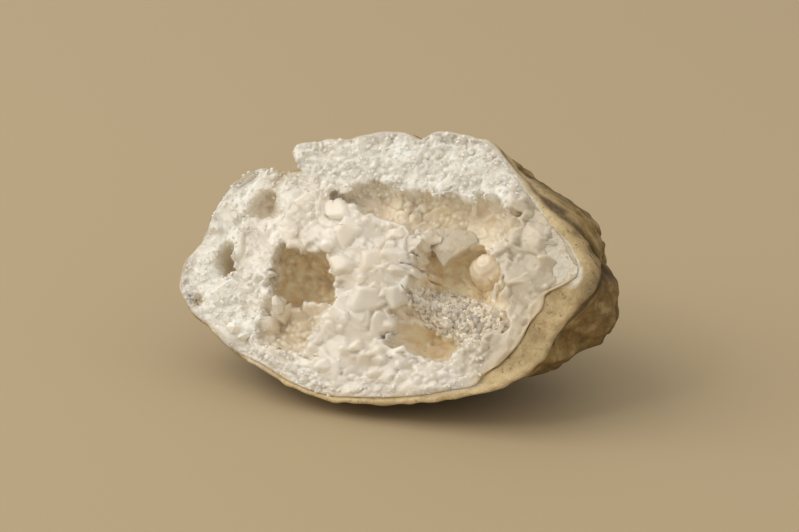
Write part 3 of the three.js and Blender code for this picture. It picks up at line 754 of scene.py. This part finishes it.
def sugar_chance(u, v, depth):
    """Most on the top wall, the left lobe and the outer ring of the face; few in the middle and
    on the smooth wall at the right."""
    top = smooth_step((v - 9.5) / 3)
    left = smooth_step((-15.5 - u) / 3)
    ring = smooth_step((np.hypot(u / 30, v / 19.5) - 0.78) / 0.14)
    right_wall = smooth_step((u - 15) / 3) * smooth_step((15 - v) / 3)
    shallow = smooth_step((4 - depth) / 3)
    often = np.clip(0.1 + top + 0.6 * left + 0.5 * ring, 0, 1) * (u > -31.8)
    return often * shallow * (1 - milky_share(u, v)) * (1 - 0.95 * right_wall)


def coarse_chance(u, v, depth):
    """In the middle mass and, less, along the lower wall and round the window."""
    lower = hill(v + 14, 3.0) * smooth_step((16 - np.abs(u + 2)) / 3)
    window = hill(np.hypot(u + 12.4, v + 2.5) - 6.5, 1.6) * smooth_step((2 - depth) / 2)
    often = np.clip(1.6 * milky_share(u, v) + 0.5 * lower + 0.4 * window, 0, 1)
    return often * smooth_step((4 - depth) / 3)


def crystal_planes(feet, normals, radius, stands, tilt, seed, blunt):
    """Six-sided crystals as sets of planes (direction, distance): six sides round the axis and
    six slopes that meet near the tip. The axis leans off the normal by about the tilt's tangent,
    the sides lie at uneven distances, and a blunt tip is cut square across."""
    random = np.random.default_rng(seed)
    count = len(feet)
    size = random.uniform(*radius, count)
    height = random.uniform(*stands, count)
    axis = unit(normals + tilt * 0.6 * random.normal(size=(count, 3)))
    side = unit(np.cross(axis, random.normal(size=(count, 3))))
    other = np.cross(axis, side)
    spin = np.arange(6) * np.pi / 3 + random.uniform(-0.1, 0.1, (count, 6))
    round_it = np.cos(spin)[..., None] * side[:, None] + np.sin(spin)[..., None] * other[:, None]
    wide = size[:, None] * random.uniform(0.7, 1.1, (count, 6))
    slope = unit(round_it * 0.79 + axis[:, None] * 0.62)
    rise = height[:, None] * 0.62 + 0.08 * size[:, None] * random.uniform(-1, 1, (count, 6))
    cap = height * np.where(random.uniform(size=count) < blunt, 0.72, 1.1)
    ways = np.concatenate([round_it, slope, axis[:, None]], axis=1)
    reach = np.concatenate([wide, rise, cap[:, None]], axis=1)
    reach = reach + np.einsum("nkd,nd->nk", ways, feet)
    return feet, ways, reach, size, height, (np.arange(count) * 0.618) % 1


def crystal_relief(points, normals, planes, start, numbers, melt):
    """Raises each point along its normal to the far side of any crystal that its line passes
    through near the surface, the edges rounded off over about the melt's length. Keeps the
    highest, and that crystal's own number from 0 to 1."""
    feet, ways, reach, size, height, own = planes
    flat, lines = points.reshape(-1, 3), normals.reshape(-1, 3)
    rise, number = start.ravel().copy(), numbers.ravel().copy()
    for i in range(len(feet)):
        near = np.nonzero(((flat - feet[i]) ** 2).sum(axis=-1) < (2.3 * size[i]) ** 2)[0]
        gap = reach[i] - flat[near] @ ways[i].T
        along = lines[near] @ ways[i].T
        leave = np.where(along > 1e-6, gap / np.maximum(along, 1e-6), 99.0)
        far = leave.min(axis=1, initial=99.0)
        far = far - melt * np.log(np.exp((far[:, None] - leave) / melt).sum(axis=1))
        first = np.where(along < -1e-6, gap / np.minimum(along, -1e-6), -99.0).max(axis=1)
        low = (flat[near] - feet[i]) @ ways[i, -1] < -0.7 * size[i]
        over = (first < np.minimum(far, 0.4)) & (far > rise[near]) & (along[:, -1] > 0.55)
        over &= (far < 2 * height[i] + 0.6) & ~low
        rise[near[over]] = far[over]
        number[near[over]] = own[i]
    return rise.reshape(start.shape), number.reshape(start.shape)


BLOCKS = [
    # name, middle, half sizes along and across, turn in degrees, height, lean to u and v, shade
    ("pale blunt crystal", (-6.2, 4.1), 2.4, 1.9, 80, 1.0, (0.2, -0.3), 0.9),
    ("bright crystal", (-9.0, 1.9), 1.2, 0.9, 20, 1.4, (-0.4, -0.2), 1.0),
    ("low block", (-6.4, -0.4), 2.1, 1.5, -12, 0.9, (-0.35, 0.3), 0.7),
    ("upper block", (-8.8, 7.3), 2.4, 1.4, -22, 1.0, (-0.3, 0.3), 0.8),
    ("clear oblong", (-3.6, 12.1), 1.8, 1.0, -14, 0.9, (0.1, 0.3), 1.0),
    ("left chip", (-2.6, -2.5), 0.8, 0.5, 10, 1.5, (0.3, 0.3), 1.0),
    ("bright chip", (-1.6, -11.9), 1.0, 0.6, 60, 1.4, (-0.3, -0.2), 1.0),
    ("sill crystal", (-15.6, -8.0), 1.9, 1.3, 28, 1.1, (0.1, 0.1), 0.9),
    ("sill lump", (-16.6, -10.2), 1.6, 1.3, 10, 1.4, (0.3, 0.2), 0.5),
    ("right lens", (16.8, 6.8), 1.4, 0.8, -45, 0.7, (-0.2, 0.0), 0.8),
    ("middle slab", (-1.4, 0.8), 2.6, 2.0, 65, 0.8, (0.35, 0.15), 0.6),
    ("low slab", (-1.2, -5.4), 2.6, 2.0, 35, 0.7, (0.3, -0.3), 0.4),
]


def block_planes():
    """The single large crystals: six-sided, longer one way, cut off by a leaning face with six
    narrow slopes round it."""
    rows = []
    random = np.random.default_rng(91)
    for _, middle, along, across, turn, height, lean, shade in BLOCKS:
        foot = crust_level(np.array(middle[0]), np.array(middle[1]))[0]
        axis = unit(np.array([*lean, 1.0]))
        side = unit(np.cross(np.cross(axis, [np.cos(np.radians(turn)), np.sin(np.radians(turn)), 0]), axis))
        other = np.cross(axis, side)
        spin = np.radians([0, 58, 122, 180, 238, 302] + random.uniform(-13, 13, 6))[:, None]
        round_it = np.cos(spin) * side + np.sin(spin) * other
        wide = np.hypot(along * np.cos(spin), across * np.sin(spin))[:, 0] * random.uniform(0.8, 1.1, 6)
        slope = unit(round_it * 0.8 + axis * 0.6)
        rise = 0.8 * wide + 0.6 * height - random.uniform(0.1, 0.75, 6)
        ways = np.concatenate([round_it, slope, axis[None]])
        reach = np.concatenate([wide, rise, [height]]) + ways @ foot
        rows.append((foot, ways, reach, along, height, shade))
    return [np.array(part) for part in zip(*rows)]


CRYSTAL_SETS = [
    # where they grow, spacing, radius, height, tilt, seed, share of blunt ones, melt
    (medium_chance, 1.0, (0.5, 1.2), (0.12, 0.48), 0.5, 301, 0.2, 0.05),
    (coarse_chance, 2.6, (1.7, 3.3), (0.5, 1.3), 0.45, 303, 0.5, 0.08),
]


def soften(grid, times):
    """Smooths a ring grid's values by the mean of the four neighbours, a few times over."""
    for _ in range(times):
        padded = np.concatenate([grid[:1], grid, grid[-1:]])
        round_it = np.roll(grid, 1, axis=1) + np.roll(grid, -1, axis=1)
        grid = 0.5 * grid + 0.125 * (round_it + padded[:-2] + padded[2:])
    return grid


def soften_round(grid, columns):
    """Smooths a ring grid round its rings by a bell curve as many columns wide."""
    wave = np.arange(grid.shape[1] // 2 + 1) * 2 * np.pi / grid.shape[1]
    kept = np.exp(-0.5 * (wave * columns) ** 2).reshape(1, -1, *[1] * (grid.ndim - 2))
    return np.fft.irfft(np.fft.rfft(grid, axis=1) * kept, grid.shape[1], axis=1)


def even_shares(rim):
    """Shares of the way from the middle to the rim, one column for each rim point, that step
    evenly along the true length of the surface so that steep walls get their rows too."""
    share = np.linspace(0, 1, 420)[:, None]
    points = crust_level(rim[:, 0] * share, rim[:, 1] * share)[0]
    step = np.linalg.norm(np.diff(points, axis=0), axis=-1)
    way = np.cumsum(soften_round(np.minimum(step, 0.6), 9) + 0.01, axis=0)
    way = np.concatenate([0 * way[:1], way]) / way[-1]
    rows = np.linspace(0, 1, CRUST_ROWS + 1)[1:]
    return np.stack([np.interp(rows, way[:, i], share[:, 0]) for i in range(len(rim))], axis=-1)


# Tan spots on the crust: partly real stains, partly painted shade in the pits, the notches and round the
# brow.
STAINS_AND_SHADE = [
    # middle, reach, share of tan
    ((24.6, 4.3), 1.5, 0.6),
    ((-19.6, 12.6), 2.0, 0.6),
    ((-28.9, -8.2), 0.9, 0.8),
    ((-26.0, -1.4), 1.3, 0.7),
    ((-21.8, 7.4), 2.2, 0.5),
    ((28.6, 3.0), 1.6, 0.5),
    ((-12.6, -9.8), 3.4, 0.6),
]


def stain_and_shade_share(points):
    """Share of tan in the quartz, partly stain and partly painted shade: the sum of the bells round the
    spots' middles.
    """
    share = 0 * points[..., 0]
    for middle, reach, amount in STAINS_AND_SHADE:
        share = share + amount * hill(np.linalg.norm(points[..., :2] - middle, axis=-1), reach)
    return share


def crust_rim():
    """The crust's edge: a little way in from the rind's outline, but only at the rind's inner
    edge where the rind's bare stone makes up the break, and half of that way at the bottom."""
    turns = np.arange(CRUST_COLUMNS) / CRUST_COLUMNS
    rim = outline_at(turns, CRUST_INSET)
    rim = rim + (outline_at(turns, 0.95) - rim) * bare_rim(rim)[:, None]
    bottom = 0.5 * smooth_step((-14 - rim[:, 1]) / 3)
    return rim + (outline_at(turns, 1.0) - rim) * bottom[:, None]


def surface_normals(points):
    """The grid's normals, softened, and more so round its middle, where the columns meet.
    Returns them and how much each belongs to that middle."""
    normals = unit(soften(grid_normals(points), 8))
    middle = smooth_step((5 - np.hypot(points[..., 0], points[..., 1])) / 3.5)
    normals = unit(normals + middle[..., None] * (soften_round(normals, 30) - normals))
    return normals, middle


KNOB_TOP = (13.0, 3.8)
KNOB_REACH = 3.0
RING_SPACING = 0.8
RING_HEIGHT = 0.06
DIMPLE_DEPTH = 0.35


def ringed_knob(points, rise):
    """The rise with the knob's growth rings, sine ripples round a dimple at its top."""
    out = np.hypot(points[..., 0] - KNOB_TOP[0], points[..., 1] - KNOB_TOP[1])
    ringed = smooth_step((KNOB_REACH - out) / 0.8) * smooth_step((points[..., 2] + 5.5) / 1.5)
    uneven = out + 0.3 * cloud(points, 1.6, 78)
    rings = RING_HEIGHT * np.sin(uneven * 2 * np.pi / RING_SPACING)
    dimple = DIMPLE_DEPTH * hill(out, 0.3)
    return rise + ringed * (rings - dimple + 0.15 * cloud(points, 1.2, 80) - rise)


def unfold(points, normals, rise, kept):
    """Lowers the rise, four times over, wherever the raised surface turns away from its own
    normal, and a little round there, but not where it is to be kept."""
    for _ in range(4):
        raised = grid_normals(points + normals * rise[..., None])
        folded = ((raised * normals).sum(axis=-1) < 0.2) * (1 - kept)
        rise = rise * (1 - np.clip(3 * soften(folded, 4), 0, 1))
    return rise


# Size and height of the broad forms of the crust's front
BROAD_FACETS = (3.1, 0.6)
SWELLS = (5.0, 0.4)
BLOCK_MELT = 0.2
EDGE_LIFT = 0.1
EDGE_DIP = 0.25


def crust_surface():
    """The crust's front as a ring grid: the hollows with the crystals raised on them. Returns
    points, normals, depths and a number from 0 to 1 that tells the crystals apart."""
    rim = crust_rim()
    share = even_shares(rim)
    points, depth = crust_level(rim[:, 0] * share, rim[:, 1] * share)
    points = soften(points, 2)
    normals, middle = surface_normals(points)
    rise = broken_grain(points) + BROAD_FACETS[1] * facets(points, BROAD_FACETS[0], 76, 0.6)
    rise = soften(rise + SWELLS[1] * cloud(points, SWELLS[0], 77), 1)
    number = 0.5 + 0.5 * cloud(points, 2.5, 74)
    for chance, spacing, radius, stands, tilt, seed, blunt, melt in CRYSTAL_SETS:
        feet, ways, _ = crust_feet((points, normals, depth[..., None]), spacing, chance, seed)
        planes = crystal_planes(feet, ways, radius, stands, tilt, seed + 1, blunt)
        rise, number = crystal_relief(points, normals, planes, rise, number, melt)
    rise, number = crystal_relief(points, normals, block_planes(), rise, number, BLOCK_MELT)
    milky = milky_share(points[..., 0], points[..., 1])
    rise = rise + milky * (0.8 * soften(rise, 2) - rise + 0.1 * cloud(points, 1.6, 75))
    rise = ringed_knob(points, rise)
    sharp = 1 - (normals * unit(soften(normals, 12))).sum(axis=-1)
    rise = rise * (1 - smooth_step((sharp - 0.06) / 0.2))
    near_edge = smooth_step((share - 0.96) / 0.04)
    rise = rise + near_edge * (broken_grain(points) - rise)
    points = points + normals * unfold(points, normals, rise, middle)[..., None]
    points[..., 2] += EDGE_LIFT * near_edge - EDGE_DIP * smooth_step((share - 0.992) / 0.008)
    return points, unit(soften(grid_normals(points), 1)), depth, number


CLOSING = [
    # depth behind the edge, share of the edge's reach
    (0.6, 0.965), (2.0, 0.93), (6.0, 0.86), (12.0, 0.72), (17.0, 0.5), (19.5, 0.2),
]
BACK_QUARTZ_DEPTH = 12.0
LOWEST = 0.4
EDGE_STAIN_REACH = 2.4


def build_crust(points, depth, number):
    """Crust mesh: the front from its middle to its edge, which dips under the rind's lip, and a
    few more rings that close it behind, clear of the rind and of the ground."""
    behind, shrink = np.array(CLOSING).T[..., None]
    edge = points[-1]
    back = np.dstack([edge[None, :, 0] * shrink, edge[None, :, 1] * shrink, edge[None, :, 2] - behind])
    rings = np.concatenate([points, back])
    depth = np.concatenate([depth, BACK_QUARTZ_DEPTH + 0 * back[..., 0]])
    number = np.concatenate([number, 0 * back[..., 0]])
    every = with_poles(rings)
    beside = pole_values(np.linalg.norm(rings - edge, axis=-1), 9.0, 9.0)
    stained_edge = (0.3 + 0.45 * bare_share(every)) * smooth_step(1 - beside / EDGE_STAIN_REACH)
    attributes = {
        "depth": pole_values(depth, depth[0].mean(), BACK_QUARTZ_DEPTH),
        "grown": pole_values(number, number[0].mean(), 0.0),
        # The wall value turns the right wall's quartz to a darker cream: partly its own cream, partly
        # painted shade.
        "wall": smooth_step((every[:, 0] - 12) / 6) * smooth_step((every[:, 2] + 4) / 3),
        "sugary": sugar_chance(every[:, 0], every[:, 1], 0 * every[:, 0]),
        # The stain value holds the spots, partly painted shade, and the tan along the crust's edge.
        "stain_and_painted_light": stain_and_shade_share(every) + stained_edge,
    }
    points = stand(every)
    points[:, 2] = np.maximum(points[:, 2], LOWEST * MM)
    return skin_object("crust_skin", points, ring_faces(*rings.shape[:2], True), attributes)


MILK = (0.82, 0.78, 0.70)
MILK_SHADE = (0.74, 0.67, 0.56)
SUGAR_WHITE = (0.92, 0.89, 0.81)
# Darker cream for the right wall: partly its own colour, partly painted shade.
WALL_CREAM_AND_SHADE = (0.65, 0.58, 0.46)
# Tan for the hollows' depths: browner quartz, made lighter than the surface as painted light against the
# hollows' shade.
DEEP_TAN_PAINTED_LIGHT = (0.96, 0.82, 0.58)
DEEP_TAN_PAINTED_LIGHT_DARK = (0.80, 0.64, 0.42)
# Tan of the stain spots, partly painted shade in pits and notches.
STAIN_AND_SHADE = (0.52, 0.41, 0.25)


def milky_quartz(name, roughness, tint=MILK, scatter_mm=0.0):
    """White quartz: warm white, a darker cream on the right wall that is partly painted shade, browner
    with depth in the hollows, where it is also lightened as painted light, and tan in the stains,
    which are partly painted shade; each crystal a little lighter or darker. Light enters it as deep
    as the scatter says."""
    material, shader, place = new_material(name)
    depth = attribute(place, "depth")
    patches = noise(place, 5.0, 3.0, 0.5)
    colour = patches.between(0.35, 0.7).blend(tint, MILK_SHADE)
    # Partly painted shade: the right wall blended to a darker cream.
    colour = attribute(place, "wall").blend(colour, WALL_CREAM_AND_SHADE)
    colour = attribute(place, "sugary").blend(colour, SUGAR_WHITE)
    # Partly painted light: with depth in the hollows the quartz turns to the lightened tan.
    stain_and_painted_light = (depth + patches * 3.0 - 1.5).between(0.8, 7.0)
    deep = noise(place, 2.2, 3.0, 0.5).between(0.4, 0.7).blend(DEEP_TAN_PAINTED_LIGHT, DEEP_TAN_PAINTED_LIGHT_DARK)
    colour = stain_and_painted_light.blend(colour, deep)
    # Partly painted shade: tan in the stain spots, which sit in pits and notches.
    colour = attribute(place, "stain_and_painted_light").blend(colour, STAIN_AND_SHADE)
    grown = attribute(place, "grown")
    colour = ((grown - 0.5) * 0.16 + 1.0).tint(colour)
    plug(shader, "Base Color", colour)
    fine = noise(place, 0.5, 3.0, 0.6)
    plug(shader, "Roughness", fine * 0.2 + roughness)
    inputs = {"Vector": place, "Scale": 1000.0 / 0.75, "Randomness": 1.0}
    grains = place.node("ShaderNodeTexVoronoi", {}, inputs)
    height = fine * 0.4 + grains * attribute(place, "sugary") * -0.6
    plug(shader, "Normal", bump(place, height, 0.8, 0.1))
    shader.inputs["Subsurface Weight"].default_value = 1.0 if scatter_mm else 0.0
    shader.inputs["Subsurface Radius"].default_value = (0.9, 0.95, 1.0)
    shader.inputs["Subsurface Scale"].default_value = scatter_mm * MM
    shader.inputs["IOR"].default_value = 1.54
    return material


front, front_normals, front_depth, front_number = crust_surface()
surface = (front[:-2], front_normals[:-2], front_depth[:-2, :, None])
crust = build_crust(front, front_depth, front_number)
crust_quartz = milky_quartz("milky_quartz", 0.2, scatter_mm=1.2)
crust.data.materials.append(crust_quartz)
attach(crust, "root")
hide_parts("crystal_crust")


# Sugar crystals
# On the top wall, the left lobe and along the rim the quartz ends in sugar-fine crystals. Each
# is a short six-sided prism with a point, rooted in the crust.
CORNERS_OF_ONE = 13


def crystal_cluster(name, feet, normals, depths, radius, stands, tilt, seed):
    """Six-sided crystals as one mesh. Each has six corners at its foot, six at a slanting
    shoulder and a point off the middle; radius and height vary between the given ends, and the
    axis leans off the surface's normal by up to the tilt's tangent."""
    random = np.random.default_rng(seed)
    count = len(feet)
    size = random.uniform(*radius, count)
    height = random.uniform(*stands, count)
    axis = unit(normals + tilt * random.normal(size=(count, 3)) * 0.6)
    side = unit(np.cross(axis, random.normal(size=(count, 3))))
    other = np.cross(axis, side)
    spin = np.arange(6) * np.pi / 3 + random.uniform(-0.12, 0.12, (count, 6))
    wide = size[:, None] * random.uniform(0.82, 1.12, (count, 6))
    squash = random.uniform(0.65, 1.0, (count, 1))
    across, along = wide * np.cos(spin), wide * squash * np.sin(spin)
    ring = across[..., None] * side[:, None] + along[..., None] * other[:, None]
    shoulder = height[:, None] - 0.9 * size[:, None] * random.uniform(0.75, 1.25, (count, 6))
    low = feet[:, None] - axis[:, None] * (size * 1.2)[:, None, None] + ring
    high = feet[:, None] + axis[:, None] * shoulder[..., None] + ring
    shift = size[:, None] * random.uniform(-0.28, 0.28, (count, 2))
    tip = feet + axis * height[:, None] + side * shift[:, :1] + other * shift[:, 1:]
    corners = np.concatenate([low, high, tip[:, None]], axis=1).reshape(-1, 3)
    first = np.arange(6)
    after = (first + 1) % 6
    side_faces = np.stack([first, after, after + 6, first + 6], axis=-1)
    tip_faces = np.stack([first + 6, after + 6, np.full(6, 12)], axis=-1)
    start = np.arange(count)[:, None, None] * CORNERS_OF_ONE
    faces = [(side_faces + start).reshape(-1, 4), (tip_faces + start).reshape(-1, 3)]
    each = {"depth": depths, "grown": random.uniform(size=count), "stain_and_painted_light": stain_and_shade_share(feet)}
    attributes = {key: np.repeat(values, CORNERS_OF_ONE) for key, values in each.items()}
    attributes["sugary"] = np.full(CORNERS_OF_ONE * count, 0.5)
    return skin_object(name, stand(corners), faces, attributes, smooth=False)


def add_crystals(piece, material):
    """Finishes a cluster: material, body and CAD node."""
    piece.data.materials.append(material)
    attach(piece, "root")
    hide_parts("crystal_crust")


sugar_quartz = milky_quartz("sugar_quartz", 0.18, SUGAR_WHITE)
sugar = crust_feet(surface, 0.7, sugar_chance, 201)
add_crystals(crystal_cluster("sugar_crystals", *sugar, (0.2, 0.42), (0.02, 0.16), 0.7, 202), sugar_quartz)


# Hanging plate
# Above the deepest part of the right hollow a flat slab of quartz hangs from the upper wall
# with its corner pointing down, where two sheets of crystals met.
PLATE_CORNERS = [
    (7.4, 2.0), (9.4, 4.6), (11.8, 6.3), (11.2, 7.6), (7.4, 8.0), (3.2, 7.2), (2.9, 6.2), (4.6, 5.0),
]
PLATE_TIP = (7.4, 2.4)
PLATE_SINK = 2.7
PLATE_SLOPE = 0.18
PLATE_THICKNESS = 1.8
PLATE_COLUMNS = 220
PLATE_FRONT_ROWS = 22


def build_plate():
    """The slab: rings from the middle of its front to its edge and back under it. The front
    falls away from the tip at an even slope and carries the grain of the broken quartz."""
    corners = np.array(PLATE_CORNERS)
    closed = np.vstack([corners, corners[:1]])
    way = np.concatenate([[0], np.cumsum(np.linalg.norm(np.diff(closed, axis=0), axis=1))])
    place = np.linspace(0, way[-1], PLATE_COLUMNS, endpoint=False)
    edge = np.stack([np.interp(place, way, closed[:, i]) for i in (0, 1)], axis=-1)
    middle = corners.mean(axis=0)
    edge = edge + unit(edge - middle) * 0.25 * cloud(np.column_stack([edge, 0 * place]), 1.0, 81)[:, None]
    front, rear = np.linspace(0.03, 0.94, PLATE_FRONT_ROWS), np.linspace(0.9, 0.1, 5)
    share = np.concatenate([front, [0.98, 1.0, 1.0, 0.97], rear])
    edge_steps = [0.07, 0.3, PLATE_THICKNESS - 0.3, PLATE_THICKNESS]
    sunk = np.concatenate([0 * front, edge_steps, PLATE_THICKNESS + 0 * rear])
    flat = middle + (edge[None] - middle) * share[:, None, None]
    away = np.hypot(flat[..., 0] - PLATE_TIP[0], flat[..., 1] - PLATE_TIP[1])
    level = broken_face(*np.array(PLATE_TIP)) - PLATE_SINK - PLATE_SLOPE * away - sunk[:, None]
    points = np.dstack([flat, level])
    points[..., 2] += 0.6 * broken_grain(points) + 0.4 * cloud(points, 2.4, 83)
    every = with_poles(points)
    same = np.ones(len(every))
    # The plate takes the right wall's darker cream all over, partly painted shade.
    attributes = {"depth": 1.6 * same, "grown": 0.3 * same, "wall": same, "sugary": 0 * same}
    return skin_object("hanging_plate", stand(every), ring_faces(*points.shape[:2], True), attributes)


add_crystals(build_plate(), crust_quartz)


# Spikes
# A few larger crystals stand free: a slender white one in the upper hollow, a sliver beside
# the knob, a small group at the lower left and a stout one on the window's sill.
SPIKES = [
    # foot, direction, radius, height
    ((10.4, 10.6, -3.0), (0.15, 0.5, 0.85), 0.45, 2.4),
    ((15.6, -0.9, -4.0), (0.2, 0.75, 0.6), 0.35, 2.2),
    ((-21.6, -11.6, -1.9), (-0.5, -0.1, 0.8), 0.9, 1.5),
    ((-19.8, -12.6, -1.4), (-0.2, -0.5, 0.8), 0.8, 1.3),
    ((-23.0, -10.7, -2.4), (-0.6, 0.2, 0.8), 0.7, 1.2),
    ((-15.6, -6.9, -0.7), (0.15, 0.55, 0.8), 1.35, 1.5),
]
for index, (foot, direction, radius, height) in enumerate(SPIKES):
    place = np.array([foot]), unit(np.array([direction])), np.zeros(1)
    sizes = (radius, radius), (height, height)
    spike = crystal_cluster("spike_" + str(index), *place, *sizes, 0.0, 400 + index)
    add_crystals(spike, sugar_quartz)


# Clear druse
# On the ledge in the right hollow stand clear, glassy crystals about a millimetre across, the
# last quartz that grew, over a bed of smaller and cloudier ones.
LEDGE_DRUSE = ((11.2, -4.7), 7.6, 3.3, -14)
PALE_QUARTZ = (0.94, 0.88, 0.79)


def ledge_chance(u, v, depth):
    """On the ledge's top and front: 1 inside a turned oval a little larger than the ledge."""
    a, b = oval_place(u, v, *LEDGE_DRUSE)
    return smooth_step((1.15 - a * a - b * b) / 0.4) * smooth_step(depth - 2)


def clear_quartz():
    """Colourless quartz: more than half of the light passes straight through."""
    material, shader, _ = new_material("clear_quartz")
    shader.inputs["Base Color"].default_value = (1.0, 0.95, 0.87, 1)
    shader.inputs["Roughness"].default_value = 0.03
    shader.inputs["Transmission Weight"].default_value = 0.6
    shader.inputs["IOR"].default_value = 1.5
    return material


roots = crust_feet(surface, 0.5, ledge_chance, 205)
roots = (*roots[:2], roots[2] * 0.5)
bed = crystal_cluster("pale_druse", *roots, (0.25, 0.55), (0.2, 0.6), 0.8, 206)
add_crystals(bed, milky_quartz("pale_quartz", 0.12, PALE_QUARTZ))
druse = crust_feet(surface, 1.5, ledge_chance, 207)
druse = crystal_cluster("clear_druse", *druse, (0.3, 0.6), (0.5, 1.1), 0.9, 208)
add_crystals(druse, clear_quartz())


# Floor and light
# A plain pale floor, a large soft lamp from the upper left and a weak small one that makes the
# crystals' faces glint.
FLOOR_COLOUR = (0.46, 0.36, 0.215)
FLOOR_REACH = 3.0
LAMP_AIM = (0, 0, 0.01)


def add_floor():
    """A large level sheet under the stone."""
    corners = FLOOR_REACH * np.array([(-1, -1, 0), (1, -1, 0), (1, 1, 0), (-1, 1, 0)])
    floor = skin_object("floor", corners, [np.array([[0, 1, 2, 3]])], smooth=False)
    material, shader, _ = new_material("floor")
    shader.inputs["Base Color"].default_value = (*FLOOR_COLOUR, 1.0)
    shader.inputs["Roughness"].default_value = 0.8
    floor.data.materials.append(material)


def add_lamp(name, place, size, watts, colour):
    """A square lamp at a place, turned towards the stone."""
    lamp = bpy.data.lights.new(name, "AREA")
    lamp.shape = "SQUARE"
    lamp.size = size
    lamp.energy = watts
    lamp.color = colour
    holder = bpy.data.objects.new(name, lamp)
    back = np.array(place, float) - np.array(LAMP_AIM, float)
    back /= np.linalg.norm(back)
    right = np.cross((0, 0, 1), back)
    right /= np.linalg.norm(right)
    turn = np.eye(4)
    turn[:3, :3] = np.array([right, np.cross(back, right), back]).T
    turn[:3, 3] = place
    holder.matrix_world = Matrix(turn)
    bpy.context.scene.collection.objects.link(holder)


def add_world(strength, colour):
    """Even light from all round."""
    world = bpy.data.worlds.new("world")
    world.use_nodes = True
    background = world.node_tree.nodes["Background"]
    background.inputs["Color"].default_value = (*colour, 1)
    background.inputs["Strength"].default_value = strength
    bpy.context.scene.world = world


add_floor()
add_lamp("window_light", (-0.55, -0.25, 0.60), 0.9, 3.9, (1.0, 0.96, 0.90))
add_lamp("gap_light", (-0.30, -0.45, 0.55), 0.10, 0.3, (1.0, 0.97, 0.92))
add_world(0.68, (1.0, 0.96, 0.90))
bpy.context.scene.view_settings.view_transform = "Standard"
